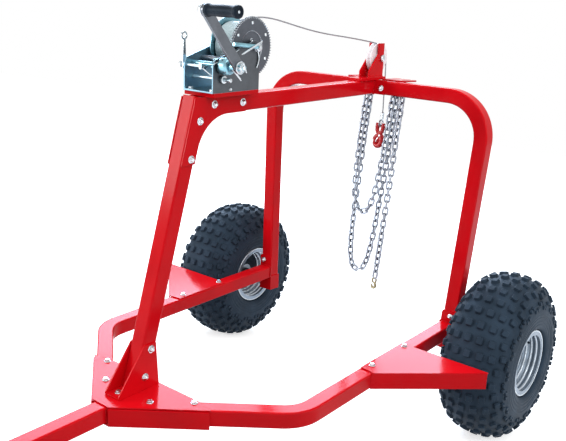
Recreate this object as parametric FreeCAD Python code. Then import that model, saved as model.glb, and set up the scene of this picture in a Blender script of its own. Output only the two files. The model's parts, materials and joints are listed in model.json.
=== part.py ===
"""Log arch for a small off-road tow vehicle: a steel V frame on two knobbly tyres, with a square
arch over the load, a boom back to it from a raking post, a geared hand winch, a sheave and chains.

The pieces are laid out in the body frame: X to the right, Y to the rear, Z up, millimetres, with
the wheels' axis on the line y = 0, z = 0.  The whole is then pitched nose down about that axis
until the coupling rests on the floor, which is how it stands when it is parked, and moved so that
the origin is on the floor at the middle of the outline.
"""
import FreeCAD, Part
import math
import os

from FreeCAD import Vector

# ---------------------------------------------------------------- driving dimensions, millimetres
# square tube
TUBE = 50.0
TUBE_WALL = 3.0
TUBE_CORNER = 5.0
PLATE = 4.0                    # folded sheet: nose plate, tray, deflectors, corner bracket
HEAVY_PLATE = 6.0              # ears, chain plates, flanges

# base frame
BEAM_TOP = 70.0                # top of the base frame above the wheels' axis
NOSE_Y = -1240.0               # front edge of the V, where the drawbar comes out
NOSE_ANGLE = 39.34             # of each V arm from the X axis, degrees
NOSE_SHOULDER = 9.0            # nose plate's front corner outboard of the drawbar
NOSE_PLATE_SIDE = 252.0        # nose plate's widest corner from the middle
NOSE_PLATE_REAR_SIDE = 190.0   # its rear corner from the middle
NOSE_PLATE_DEPTH = 192.0       # its rear edge behind the front one
TRAY_LIP = 2.0                 # tray's flange ends this far under the beams' top
LEG_X = 425.0                  # centre line of the straight beams and of the legs' feet
BEAM_BEND = 110.0              # centre line radius of the bend from V arm to straight beam
COUPLING_Y = -1900.0           # centre of the coupling's ball
DRAWBAR_SETBACK = 45.0         # drawbar's end behind the ball's centre
DRAWBAR_TUCK = 178.0           # length of the drawbar inside the nose

# coupling
COUPLING_BALL = 50.0           # diameter of the tow ball
BALL_PLAY = 0.5                # radial
BALL_DROP = 8.0                # ball's centre below the drawbar's
SOCKET_WALL = 9.0
SOCKET_SKIRT = 14.0            # socket reaches this far below the ball's centre
SLEEVE_WALL = 4.0
SLEEVE_LENGTH = 115.0
SLEEVE_FRONT_WALL = 6.0
HANDLE_GAP = 10.0              # under the locking handle

# arch
ARCH_LEAN = 2.79               # legs lean to the rear, degrees
LEG_SPLAY = 2.61               # legs spread outwards as they rise, degrees
LEG_FORWARD = 5.0              # leg's centre line ahead of the wheels' axis
ARCH_BEND = 140.0              # centre line radius of the top corners
LEG_FOOT = 34.0                # leg's end below the wheels' axis
SOCKET_TOP = 110.0             # leg's socket, above the wheels' axis
SOCKET_CHEEK = 26.0            # top of the socket's inner cheek
SOCKET_ROUND = 10.0            # its front wall's upper inner corner

# post and boom
BOOM_TOP = 888.0
POST_RAKE = 16.1               # from upright, degrees
POST_SETBACK = 121.3           # post's centre line behind the nose's front edge
POST_RISE = 9.0                # post's front edge above the boom
FOOT_AHEAD = 80.3              # post foot's front edge, from the post's centre line
FOOT_BEHIND = 67.7
FOOT_SHEET = 5.0
EAR_HEIGHT = 134.0             # post foot's ears above the nose plate
EAR_TOP_WIDTH = 43.0
EAR_REAR_SLOPE = 10.0          # ear's rear edge comes forward this much as it rises
BRACKET_DROP = 183.0           # corner bracket's lower end below the boom's top
BRACKET_REACH = 183.7          # its rear edge behind the post's centre line at the boom's top
BRACKET_RADIUS = 125.0         # round inner corner of its cheeks
FOLD_GAP = 6.0                 # between the post and the bracket's folded top

# wheels
TYRE_RADIUS = 290.0
TYRE_WIDTH = 240.0
TYRE_GAP = 45.0                # between the leg's socket and the tyre
TYRE_BULGE = 12.0              # tyre's wall outside the rim's flange
CROWN_HALF_WIDTH = 70.0
CROWN_DROP = 13.0              # crown's edge below its middle
SHOULDER_BULGE = 5.5           # shoulder's arc outside its chord, each way
WALL_WIDEST = 212.0            # radius at which the tyre is widest
WALL_FOOT = 124.0              # wall's radius at the rim's flange
WALL_BULGE = 5.0
BEAD_PLAY = 0.3                # between the tyre's bead and the rim's flange
RIM_FLANGE_RADIUS = 116.0
BEAD_RADIUS = 102.0
WELL_RADIUS = 89.0
RIM_SHEET = 3.0
RIM_SEAT = 38.0                # bead's seat, from the flange
RIM_RAMP = 20.0                # slope from the seat down to the well
DISC_SHEET = 4.0
WHEEL_STUD_CIRCLE = 110.0
AXLE_RADIUS = 15.0
RUNNING_FIT = 0.05             # radial clearance of a shaft in its bore

# hub
HUB_RADIUS = 32.0
HUB_INNER = -52.0              # ends of the hub from the wheel's middle plane
HUB_FACE = 24.0                # face that the wheel's disc is bolted to
HUB_FLANGE = 6.0
HUB_CAP = 62.0
HUB_CAP_WALL = 13.0
HUB_CHAMFER = 6.0
HUB_FLANGE_MARGIN = 15.0       # flange outside the stud circle
STUD_RADIUS = 6.0
STUD_PLAY = 0.2                # radial, round each stud in the disc
AXLE_FLANGE_RADIUS = 36.0

# deflectors in front of the tyres
DEFLECTOR_GAP = 19.0           # between the deflector's rear edge and the tyre
DEFLECTOR_LENGTH = 248.0
DEFLECTOR_REACH = 97.0         # tip outboard of the tyre's middle
DEFLECTOR_SHOULDER = 9.0       # front corner outboard of the beam
DEFLECTOR_EDGE = 6.0           # tip's short edge along the wheel's direction

# saddle and sheave
SHEAVE_RADIUS = 54.0
SHEAVE_SETBACK = 10.0          # sheave's axis behind the cross beam's middle
SHEAVE_CLEARANCE = 12.0        # between the sheave and the saddle's base
SHEAVE_GROOVE = 9.0            # depth
SHEAVE_WIDTH = 20.0
SHEAVE_HUB_RADIUS = 20.0
SHEAVE_PIN_RADIUS = 8.0
PIN_HEAD_RADIUS = 12.5
PIN_HEAD = 7.0                 # thickness
EAR_INNER = 16.0               # inner face of each ear from the middle
EAR_RISE = 53.0                # ear's top above the sheave's axis
EAR_FRONT = 76.0               # ear's front edge ahead of the sheave's axis
EAR_REAR = 14.0
EAR_STEP = 20.0                # front of the ear's narrow top, ahead of the sheave's axis
EAR_STEP_RISE = 15.0
EAR_SHOULDER_DROP = 45.0
SADDLE_SHEET = 10.0
SADDLE_AHEAD = 133.0           # saddle's base from the sheave's axis
SADDLE_BEHIND = 24.0
SADDLE_HALF_WIDTH = 30.0
SADDLE_FLANGE = 67.0           # half width of the flange on the cross beam

# chain plates on the cross beam
CHAIN_PLATE_INNER = 32.0
CHAIN_PLATE_OUTER = 118.0
CHAIN_PLATE_REACH = 82.0       # behind the beam's rear face
CHAIN_PLATE_FRONT = 6.0        # front edge behind the beam's middle
CHAIN_SLOT_START = 12.0        # slot's closed end behind the beam's rear face
CHAIN_SLOT = 9.0
CHAIN_SLOTS = (58.0, 98.0)     # middle of each slot

# winch
WINCH_SETBACK = 11.7           # cheeks' front edge behind the post's centre line
WINCH_HALF_WIDTH = 58.0
WINCH_PLATE = 4.0
WINCH_SEAT = 12.0              # raised pad between the corner bracket and the winch
CHEEK_FRONT = 78.0             # height of the cheeks' upright front edge
CHEEK_ROUND = 19.0             # radius of the cheeks' top, round the drum's shaft
CRANK_SETBACK = 33.8           # crank's axis behind the cheeks' front edge
GEAR_ABOVE_BASE = 30.9         # drum gear's teeth above the winch's base
GEAR_MODULE = 2.5
DRUM_TEETH = 68
IDLER_TEETH = 18
PINION_TEETH = 14
GEAR_PLAY = 0.5                # extra centre distance of each meshed pair
GEAR_FACE = 7.0
GEAR_X = 37.0                  # inner face of the drum gear
CRANK_Z_DROP = 46.0            # crank's axis below the drum's axis
FLANGE_RADIUS = 84.0
DRUM_FAR_X = -44.0
DRUM_SHEET = 3.0
BARREL_RADIUS = 22.0
COIL_DEPTH = 14.0              # flange's edge above the wound cable
NEAR_FLANGE_INSET = 6.0        # near flange is this much smaller than the far one
SHAFT_RADIUS = 8.0
SHAFT_HEAD_RADIUS = 12.0
SHAFT_HEAD = 8.0               # thickness
SHAFT_KEY = 1.0                # gears on solid shafts are this much tighter than the shaft
BOSS_RADIUS = 14.0
GEAR_RECESS_RADIUS = 46.0
GEAR_RECESS = 2.5              # depth
WOUND_PLAY = 0.5               # between the wound cable and each flange
BUSH_RADIUS = 18.0
BUSH_LENGTH = 36.0
PAWL_ROD = (11.0, 71.0, 4.5)   # behind the cheeks' front edge, above the winch's base, radius
SPREADER_ROD = (36.0, 38.0, 5.0)
PAWL_LEVER_GAP = 8.0           # between the left cheek and the pawl's lever
PAWL_LEVER = 4.0               # thickness
CRANK_ARM_X = 120.0
CRANK_ARM_THICK = 7.0
CRANK_ARM_LENGTH = 202.0
CRANK_ARM_WIDTH = 34.0
CRANK_ARM_ANGLE = 40.9         # of the arm from upright, towards the front, at rest
CRANK_NUT_RADIUS = 12.0
CRANK_NUT = 10.0
GRIP_RADIUS = 17.0
GRIP_LENGTH = 114.0

# cable and chains
CABLE_RADIUS = 2.5
CHAIN_RADIUS = 12.0            # half the width of a link
FERRULE_RADIUS = 6.5
HOOK_RADIUS = 6.5
HOOK_BEND = 19.0

# Routes of what hangs or lies free, in the parked pose: x, y from the wheels' axis, z from the floor
CABLE_ROUTE = [(0, -871, 1261), (0, -831, 1274), (0, -783, 1285.5), (0, -725, 1290), (0, -660, 1288.5),
               (0, -595, 1286), (0, -525, 1284.5), (0, -457, 1285.5), (0, -389, 1288.5), (0, -321, 1292.5),
               (0, -255, 1295.5), (0, -195, 1297.5), (0, -145, 1298.5), (0, -97, 1299), (0, -57, 1280),
               (1, -41, 1237), (3, -34, 1186), (7, -30, 1122), (14, -29, 1054)]
SMALL_LOOP = [(-58, -46, 1185), (-58, -46, 1050), (-56, -46, 910), (-51, -45, 800), (-43, -45, 735),
              (-33, -45, 698), (-17, -45, 674), (15, -45, 671), (31, -45, 696), (41, -45, 734),
              (50, -46, 802), (56, -46, 915), (58, -46, 1055), (58, -46.5, 1185)]
LARGE_LOOP = [(-58, -17, 1188), (-59, -17, 1020), (-57, -16, 860), (-54, -16, 700), (-48, -16, 570),
              (-40, -16, 502), (-29, -16, 464), (-13, -16, 441), (19, -16, 443), (34, -16, 468),
              (43, -16, 510), (50, -16, 578), (54, -17, 700), (58, -17, 860), (58.5, -17, 1022), (58, -17, 1188)]
CHAIN_TAIL = [(98, -45, 1185), (98, -45, 1050), (99, -43, 890), (101, -42, 740), (101, -41, 585), (102, -41, 436)]

# ---------------------------------------------------------------- sizes that follow
HALF = TUBE / 2
BEAM_MIDDLE = BEAM_TOP - HALF
BEAM_BOTTOM = BEAM_TOP - TUBE
NOSE_PLATE_TOP = BEAM_TOP + PLATE
BOOM_BOTTOM = BOOM_TOP - TUBE
LEAN = math.radians(ARCH_LEAN)
ARCH_HEIGHT = (BOOM_TOP - HALF * math.sin(LEAN)) / math.cos(LEAN)   # cross beam's top, along the leg
RAKE = math.radians(POST_RAKE)
NOSE = math.radians(NOSE_ANGLE)
POST_HALF = HALF / math.cos(RAKE)                                   # level half width of the post
POST_FOOT_Y = NOSE_Y + POST_SETBACK
POST_TOP_Y = POST_FOOT_Y + math.tan(RAKE) * (BOOM_TOP - NOSE_PLATE_TOP)
SOCKET_FACE = HALF + PLATE                                          # leg's socket from the leg's middle
WHEEL_X = LEG_X + SOCKET_FACE + TYRE_GAP + TYRE_WIDTH / 2
RIM_WIDTH = TYRE_WIDTH - 2 * TYRE_BULGE
SHEAVE_Y = (ARCH_HEIGHT - HALF) * math.sin(LEAN) - LEG_FORWARD + SHEAVE_SETBACK
SADDLE_TOP = BOOM_TOP + SADDLE_SHEET
SHEAVE_Z = SADDLE_TOP + SHEAVE_CLEARANCE + SHEAVE_RADIUS
BRACKET_TOP = BOOM_TOP + PLATE
WINCH_BOTTOM = BRACKET_TOP + WINCH_SEAT
WINCH_FRONT = POST_TOP_Y + WINCH_SETBACK
DRUM_PITCH = DRUM_TEETH * GEAR_MODULE / 2
IDLER_PITCH = IDLER_TEETH * GEAR_MODULE / 2
PINION_PITCH = PINION_TEETH * GEAR_MODULE / 2
TOOTH_TIP = 0.85 * GEAR_MODULE
TOOTH_ROOT = 1.15 * GEAR_MODULE
GEAR_TRAIN = DRUM_PITCH + 2 * IDLER_PITCH + PINION_PITCH + 2 * GEAR_PLAY
CRANK_Y = WINCH_FRONT + CRANK_SETBACK
DRUM_Y = CRANK_Y + math.sqrt(GEAR_TRAIN ** 2 - CRANK_Z_DROP ** 2)
DRUM_Z = WINCH_BOTTOM + WINCH_PLATE + GEAR_ABOVE_BASE + DRUM_PITCH + TOOTH_TIP
WINCH_REAR = DRUM_Y + CHEEK_ROUND
COIL_RADIUS = FLANGE_RADIUS - COIL_DEPTH
BALL_Z = BEAM_MIDDLE - BALL_DROP
SOCKET_RADIUS = COUPLING_BALL / 2 + BALL_PLAY + SOCKET_WALL
X_AXIS = Vector(1, 0, 0)
Y_AXIS = Vector(0, 1, 0)
Z_AXIS = Vector(0, 0, 1)


# ---------------------------------------------------------------- shape helpers
def box(x0, x1, y0, y1, z0, z1):
    return Part.makeBox(x1 - x0, y1 - y0, z1 - z0, Vector(x0, y0, z0))


def rod(radius, x0, x1, y, z):
    """A cylinder along X."""
    return Part.makeCylinder(radius, x1 - x0, Vector(x0, y, z), X_AXIS)


def ring(outer, inner, x0, x1, y, z):
    return rod(outer, x0, x1, y, z).cut(rod(inner, x0 - 1, x1 + 1, y, z))


def plate_yz(points, x0, x1):
    """A plate with its outline in the YZ plane, from x0 to x1."""
    wire = Part.makePolygon([Vector(x0, y, z) for y, z in points + points[:1]])
    return Part.Face(wire).extrude(Vector(x1 - x0, 0, 0))


def plate_xy(points, z0, z1):
    wire = Part.makePolygon([Vector(x, y, z0) for x, y in points + points[:1]])
    return Part.Face(wire).extrude(Vector(0, 0, z1 - z0))


def mirrored(shape):
    return shape.mirror(Vector(0, 0, 0), X_AXIS)


def fused(shapes):
    return shapes[0].multiFuse(shapes[1:]).removeSplitter()


def rounded_square(size, radius, start, along, up):
    """Closed outline of a square tube's section at a point, square to its run."""
    side = up.cross(along).normalize()
    half, flat = size / 2, size / 2 - radius
    place = lambda a, b: start + side * a + up * b
    edges = []
    for turn in range(4):
        c, s = [(1, 0), (0, 1), (-1, 0), (0, -1)][turn]
        spin = lambda a, b: place(a * c - b * s, a * s + b * c)
        bulge = flat + radius * math.sqrt(0.5)
        edges.append(Part.LineSegment(spin(half, -flat), spin(half, flat)).toShape())
        edges.append(Part.Arc(spin(half, flat), spin(bulge, bulge), spin(flat, half)).toShape())
    return Part.Wire(Part.__sortEdges__(edges))


def square_tube(path, along, up):
    """A square tube with rounded corners, swept along a flat path from the path's start."""
    start = path.OrderedVertexes[0].Point
    skins = []
    for inset in (0.0, TUBE_WALL):
        corner = TUBE_CORNER - inset if inset < TUBE_CORNER else 1.0
        section = rounded_square(TUBE - 2 * inset, max(corner, 1.0), start, along, up)
        skins.append(path.makePipeShell([section], True, False))
    return skins[0].cut(skins[1])


def straight_path(start, end):
    return Part.Wire([Part.LineSegment(start, end).toShape()])


def bent_path(points, radius):
    """Straight runs through the points, with an arc of the same radius at each inner one."""
    edges, here = [], points[0]
    for before, corner, after in zip(points, points[1:], points[2:]):
        back, ahead = (before - corner).normalize(), (after - corner).normalize()
        half_angle = back.getAngle(ahead) / 2
        reach = radius / math.tan(half_angle)
        middle = corner + (back + ahead).normalize() * (radius / math.sin(half_angle) - radius)
        first, last = corner + back * reach, corner + ahead * reach
        edges.append(Part.LineSegment(here, first).toShape())
        edges.append(Part.Arc(first, middle, last).toShape())
        here = last
    edges.append(Part.LineSegment(here, points[-1]).toShape())
    return Part.Wire(edges)


# ---------------------------------------------------------------- local frames
def arch_frame(shape):
    """Move a piece from the arch's own upright frame to its leaning place over the axle."""
    moved = shape.copy()
    moved.translate(Vector(0, -LEG_FORWARD, 0))
    moved.rotate(Vector(0, -LEG_FORWARD, 0), X_AXIS, -ARCH_LEAN)
    return moved


def leg_frame(shape):
    """Move a piece from an upright leg on the origin to the right leg."""
    moved = shape.copy()
    moved.rotate(Vector(0, 0, 0), Y_AXIS, LEG_SPLAY)
    moved.translate(Vector(LEG_X, 0, 0))
    return arch_frame(moved)


def post_y(z):
    """The post's centre line at a height."""
    return POST_FOOT_Y + math.tan(RAKE) * (z - NOSE_PLATE_TOP)


# ---------------------------------------------------------------- base frame
def make_drawbar():
    front = Vector(0, COUPLING_Y + DRAWBAR_SETBACK, BEAM_MIDDLE)
    path = straight_path(front, Vector(0, NOSE_Y + DRAWBAR_TUCK, BEAM_MIDDLE))
    return square_tube(path, Y_AXIS, Z_AXIS)


def v_arm_normal():
    return Vector(math.sin(NOSE), -math.cos(NOSE), 0)


def make_side_beam():
    """Right beam: V arm, bend and straight run, ending on the leg's socket."""
    along = Vector(math.cos(NOSE), math.sin(NOSE), 0)
    start = Vector(HALF, NOSE_Y, BEAM_MIDDLE) - v_arm_normal() * HALF
    corner = start + along * ((LEG_X - start.x) / along.x)
    path = bent_path([start - along * TUBE, corner, Vector(LEG_X, TUBE, BEAM_MIDDLE)], BEAM_BEND)
    beam = square_tube(path, along, Z_AXIS)
    beam = beam.common(box(HALF, LEG_X + TUBE, NOSE_Y - TUBE, 2 * TUBE, BEAM_BOTTOM - 1, BEAM_TOP + 1))
    return beam.cut(leg_frame(box(-TUBE, TUBE, -SOCKET_FACE, 3 * TUBE, BEAM_BOTTOM - TUBE, BEAM_TOP + TUBE)))


def nose_outline(grow):
    """The nose plate's outline, widened by a margin along its sloping sides."""
    shift = v_arm_normal() * grow
    front = Vector(HALF + NOSE_SHOULDER, NOSE_Y, 0) + shift
    run = (NOSE_PLATE_SIDE - front.x) / math.cos(NOSE)
    side = front + Vector(math.cos(NOSE), math.sin(NOSE), 0) * run
    right = [(front.x, front.y), (side.x, side.y), (NOSE_PLATE_REAR_SIDE, NOSE_Y + NOSE_PLATE_DEPTH)]
    return right + [(-x, y) for x, y in reversed(right)]


def make_nose_plate():
    return plate_xy(nose_outline(0.0), BEAM_TOP, NOSE_PLATE_TOP)


def make_nose_tray():
    """Plate under the nose, with a flange turned up along each V arm."""
    floor = plate_xy(nose_outline(PLATE), BEAM_BOTTOM - PLATE, BEAM_BOTTOM)
    wall = plate_xy(nose_outline(PLATE), BEAM_BOTTOM, BEAM_TOP - TRAY_LIP)
    beyond = 2 * LEG_X
    keep_side = box(HALF + NOSE_SHOULDER, beyond, NOSE_Y - TUBE, 0, BEAM_BOTTOM, BEAM_TOP)
    outer = Vector(HALF, NOSE_Y, 0)
    arm = Vector(math.cos(NOSE), math.sin(NOSE), 0)
    inner = [outer - arm * LEG_X, outer + arm * beyond]
    inner = [(p.x, p.y) for p in inner] + [(beyond, 0), (-beyond, 0)]
    right = wall.common(keep_side).cut(plate_xy(inner, BEAM_BOTTOM - 1, BEAM_TOP + 1))
    return fused([floor, right, mirrored(right)])


def make_post_foot():
    """Channel bolted to the nose, with an ear on each side of the post."""
    half = HALF + FOOT_SHEET
    front, rear = POST_FOOT_Y - FOOT_AHEAD, POST_FOOT_Y + FOOT_BEHIND
    top = NOSE_PLATE_TOP + EAR_HEIGHT
    base = box(-half, half, front, rear, NOSE_PLATE_TOP, NOSE_PLATE_TOP + FOOT_SHEET)
    rear_top = rear - EAR_REAR_SLOPE
    outline = [(front, NOSE_PLATE_TOP), (front, NOSE_PLATE_TOP + 2 * FOOT_SHEET),
               (rear_top - EAR_TOP_WIDTH, top), (rear_top, top), (rear, NOSE_PLATE_TOP)]
    ear = plate_yz(outline, HALF, half)
    return fused([base, ear, mirrored(ear)])


def make_post():
    rise = Vector(0, math.sin(RAKE), math.cos(RAKE))
    up = Vector(0, -math.cos(RAKE), math.sin(RAKE))
    front_top = BOOM_TOP + POST_RISE
    reach = (front_top - HALF * math.sin(RAKE) - NOSE_PLATE_TOP) / math.cos(RAKE)
    foot = Vector(0, POST_FOOT_Y, NOSE_PLATE_TOP)
    post = square_tube(straight_path(foot - rise * TUBE, foot + rise * reach), rise, up)
    return post.cut(box(-TUBE, TUBE, NOSE_Y - TUBE, 0, -2 * TUBE, NOSE_PLATE_TOP + FOOT_SHEET))


def make_boom():
    """Level tube from the post's rear face to the flange on the cross beam."""
    middle = BOOM_TOP - HALF
    path = straight_path(Vector(0, POST_TOP_Y - TUBE, middle), Vector(0, 2 * TUBE, middle))
    boom = square_tube(path, Y_AXIS, Z_AXIS)
    low, high = BOOM_BOTTOM - TUBE, BOOM_TOP + TUBE
    ahead = [(post_y(low) + POST_HALF, low), (post_y(high) + POST_HALF, high),
             (POST_FOOT_Y - TUBE, high), (POST_FOOT_Y - TUBE, low)]
    behind = box(-TUBE, TUBE, -HALF - HEAVY_PLATE, 4 * TUBE, low, high)
    return boom.cut(plate_yz(ahead, -TUBE, TUBE)).cut(arch_frame(behind))


def cheek_outline():
    """Side of the corner bracket: along the boom and the post with a round inner corner."""
    low, rear = BOOM_TOP - BRACKET_DROP, POST_TOP_Y + BRACKET_REACH
    lean = Vector(0, -math.sin(RAKE), -math.cos(RAKE))
    half_angle = Y_AXIS.getAngle(lean) / 2
    corner = Vector(0, post_y(BOOM_BOTTOM) + POST_HALF, BOOM_BOTTOM)
    reach = BRACKET_RADIUS / math.tan(half_angle)
    first, last = corner + Y_AXIS * reach, corner + lean * reach
    bisector = (Y_AXIS + lean).normalize()
    middle = corner + bisector * (BRACKET_RADIUS / math.sin(half_angle) - BRACKET_RADIUS)
    points = [last, Vector(0, post_y(low) + POST_HALF, low), Vector(0, post_y(low) - POST_HALF, low),
              Vector(0, post_y(BRACKET_TOP) - POST_HALF, BRACKET_TOP),
              Vector(0, rear, BRACKET_TOP), Vector(0, rear, BOOM_BOTTOM), first]
    edges = [Part.LineSegment(a, b).toShape() for a, b in zip(points, points[1:])]
    return Part.Wire(edges + [Part.Arc(first, middle, last).toShape()])


def make_corner_bracket():
    """Folded over the boom, with a cheek on each side and a raised pad for the winch."""
    cheek = Part.Face(cheek_outline()).extrude(Vector(PLATE, 0, 0))
    cheek.translate(Vector(HALF, 0, 0))
    front = POST_TOP_Y + POST_HALF + FOLD_GAP
    rear = POST_TOP_Y + BRACKET_REACH
    fold = box(-HALF - PLATE, HALF + PLATE, front, rear, BOOM_TOP, BRACKET_TOP)
    half = WINCH_HALF_WIDTH
    pad = box(-half, half, WINCH_FRONT + PLATE, WINCH_REAR, BRACKET_TOP, WINCH_BOTTOM)
    return fused([cheek, mirrored(cheek), fold, pad])


# ---------------------------------------------------------------- arch
def arch_top_x():
    rise = ARCH_HEIGHT - HALF
    return LEG_X + rise * math.tan(math.radians(LEG_SPLAY))


def make_arch():
    """One bent tube: two legs and the cross beam."""
    splay = math.radians(LEG_SPLAY)
    foot_x = LEG_X - LEG_FOOT * math.tan(splay)
    top = ARCH_HEIGHT - HALF
    right = [Vector(foot_x, 0, -LEG_FOOT), Vector(arch_top_x(), 0, top)]
    points = right + [Vector(-arch_top_x(), 0, top), Vector(-foot_x, 0, -LEG_FOOT)]
    along = (right[1] - right[0]).normalize()
    return arch_frame(square_tube(bent_path(points, ARCH_BEND), along, Y_AXIS))


def make_leg_socket():
    """Channel round the right leg's foot, low on its inner side, which the beam butts against."""
    channel = box(-SOCKET_FACE, SOCKET_FACE, -SOCKET_FACE, HALF, -LEG_FOOT, SOCKET_TOP)
    channel = channel.cut(box(-HALF, HALF, -HALF, HALF + 1, -LEG_FOOT - 1, SOCKET_TOP + 1))
    channel = channel.cut(box(-SOCKET_FACE - 1, -HALF, -HALF, HALF + 1, SOCKET_CHEEK, SOCKET_TOP + 1))
    corner = [edge for edge in channel.Edges if edge.BoundBox.XLength + edge.BoundBox.ZLength < 0.01
              and edge.CenterOfMass.x < -HALF and edge.CenterOfMass.z > SOCKET_TOP - 1]
    return leg_frame(channel.makeFillet(SOCKET_ROUND, corner))


def make_stub_axle():
    """Flange welded on the socket's outer cheek, and the shaft that carries the hub."""
    flange = leg_frame(rod(AXLE_FLANGE_RADIUS, SOCKET_FACE, SOCKET_FACE + HEAVY_PLATE, LEG_FORWARD, 0))
    shaft = rod(AXLE_RADIUS, LEG_X + SOCKET_FACE + HEAVY_PLATE / 2, WHEEL_X + HUB_CAP - HUB_CAP_WALL - 1, 0, 0)
    return fused([flange, shaft])


# ---------------------------------------------------------------- wheels
def revolved(points, x):
    """Turn an outline of (offset along the axle, radius) points about the axle."""
    wire = Part.makePolygon([Vector(x + a, 0, r) for a, r in points + points[:1]])
    return Part.Face(wire).revolve(Vector(x, 0, 0), X_AXIS, 360)


def make_hub():
    bore = AXLE_RADIUS + RUNNING_FIT
    flange = WHEEL_STUD_CIRCLE / 2 + HUB_FLANGE_MARGIN
    back, nose, cap = HUB_FACE - HUB_FLANGE, HUB_RADIUS - 2, HUB_CAP
    blind = cap - HUB_CAP_WALL
    return revolved([(HUB_INNER, HUB_RADIUS), (back, HUB_RADIUS), (back, flange), (HUB_FACE, flange),
                     (HUB_FACE, nose), (cap - HUB_CHAMFER, nose), (cap, nose - HUB_CHAMFER), (cap, 0),
                     (blind, 0), (blind, bore), (HUB_INNER, bore)], WHEEL_X)


def make_rim():
    half, lip = RIM_WIDTH / 2, RIM_SHEET
    seat, well = half - RIM_SEAT, half - RIM_SEAT - RIM_RAMP
    outer = [(-half, RIM_FLANGE_RADIUS), (-half + lip, RIM_FLANGE_RADIUS), (-half + lip, BEAD_RADIUS),
             (-seat, BEAD_RADIUS), (-well, WELL_RADIUS), (well, WELL_RADIUS), (seat, BEAD_RADIUS),
             (half - lip, BEAD_RADIUS), (half - lip, RIM_FLANGE_RADIUS), (half, RIM_FLANGE_RADIUS)]
    inner = [(half, BEAD_RADIUS - lip), (seat + 1, BEAD_RADIUS - lip), (well + 1, WELL_RADIUS - lip),
             (-well - 1, WELL_RADIUS - lip), (-seat - 1, BEAD_RADIUS - lip), (-half, BEAD_RADIUS - lip)]
    barrel = revolved(outer + inner, WHEEL_X)
    face = WHEEL_X + HUB_FACE
    disc = ring(WELL_RADIUS - lip + 0.5, HUB_RADIUS - 1.8, face, face + DISC_SHEET, 0, 0)
    circle = WHEEL_STUD_CIRCLE / 2
    for index in range(4):
        angle = math.radians(45 + 90 * index)
        hole = rod(STUD_RADIUS + STUD_PLAY, WHEEL_X, face + 2 * DISC_SHEET,
                   circle * math.cos(angle), circle * math.sin(angle))
        disc = disc.cut(hole)
    return fused([barrel, disc])


def make_tyre():
    """Solid ring with a round crown, shoulders and walls; its knobs are inside this outline."""
    half = TYRE_WIDTH / 2
    bead = RIM_WIDTH / 2 - RIM_SHEET - BEAD_PLAY
    at = lambda a, r: Vector(WHEEL_X + a, 0, r)
    corners = [(CROWN_HALF_WIDTH, TYRE_RADIUS - CROWN_DROP), (half, WALL_WIDEST), (bead, WALL_FOOT)]
    edges = []
    for side in (1, -1):
        crown, widest, foot = [at(side * a, r) for a, r in corners]
        shoulder = (crown + widest) / 2 + Vector(side * SHOULDER_BULGE, 0, SHOULDER_BULGE)
        wall = (widest + foot) / 2 + X_AXIS * (side * WALL_BULGE)
        edges.append(Part.Arc(crown, shoulder, widest).toShape())
        edges.append(Part.Arc(widest, wall, foot).toShape())
        edges.append(Part.LineSegment(foot, at(side * bead, BEAD_RADIUS)).toShape())
    crown_left, crown_right = [at(side * CROWN_HALF_WIDTH, TYRE_RADIUS - CROWN_DROP) for side in (-1, 1)]
    edges.append(Part.Arc(crown_left, at(0, TYRE_RADIUS), crown_right).toShape())
    edges.append(Part.LineSegment(at(-bead, BEAD_RADIUS), at(bead, BEAD_RADIUS)).toShape())
    face = Part.Face(Part.Wire(Part.__sortEdges__(edges)))
    return face.revolve(at(0, 0), X_AXIS, 360)


# ---------------------------------------------------------------- deflectors
def make_deflector():
    """Bolted on the right beam: a triangular sheet with a skirt along its sloping front edge."""
    inner = LEG_X - HALF + PLATE
    shoulder_x = LEG_X + HALF + DEFLECTOR_SHOULDER
    rear_y = -TYRE_RADIUS - DEFLECTOR_GAP
    front = Vector(shoulder_x, rear_y - DEFLECTOR_LENGTH, 0)
    tip = Vector(WHEEL_X + DEFLECTOR_REACH, rear_y - DEFLECTOR_EDGE, 0)
    outline = [(inner, front.y + 5), (front.x, front.y), (tip.x, tip.y), (tip.x, rear_y), (inner, rear_y)]
    top = plate_xy(outline, BEAM_TOP, NOSE_PLATE_TOP)
    along = (tip - front).normalize()
    inward = Vector(-along.y, along.x, 0) * PLATE
    start = front - along * (DEFLECTOR_SHOULDER / along.x)
    corners = [start, tip, tip + inward, start + inward + along * (PLATE * along.y / along.x)]
    skirt = plate_xy([(p.x, p.y) for p in corners], BEAM_BOTTOM, NOSE_PLATE_TOP)
    skirt = skirt.common(box(LEG_X + HALF, 2 * WHEEL_X, 2 * front.y, 0, BEAM_BOTTOM, NOSE_PLATE_TOP))
    return fused([top, skirt])


# ---------------------------------------------------------------- saddle and sheave
def make_saddle():
    """Base plate over boom and beam, two ears for the sheave and a flange bolted to the beam."""
    top, half = SADDLE_TOP, SADDLE_HALF_WIDTH
    base = box(-half, half, SHEAVE_Y - SADDLE_AHEAD, SHEAVE_Y + SADDLE_BEHIND, BOOM_TOP, top)
    front, rear, ear_top = SHEAVE_Y - EAR_FRONT, SHEAVE_Y + EAR_REAR, SHEAVE_Z + EAR_RISE
    step = SHEAVE_Y - EAR_STEP
    outline = [(front, top), (front, SHEAVE_Z - EAR_SHOULDER_DROP), (step, SHEAVE_Z + EAR_STEP_RISE),
               (step, ear_top), (rear, ear_top), (rear, top)]
    outer = EAR_INNER + HEAVY_PLATE
    ear = plate_yz(outline, EAR_INNER, outer).cut(rod(SHEAVE_PIN_RADIUS, 0, 2 * outer, SHEAVE_Y, SHEAVE_Z))
    flange = box(-SADDLE_FLANGE, SADDLE_FLANGE, -HALF - HEAVY_PLATE, -HALF, ARCH_HEIGHT - TUBE, ARCH_HEIGHT)
    return fused([base, ear, mirrored(ear), arch_frame(flange)])


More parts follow.
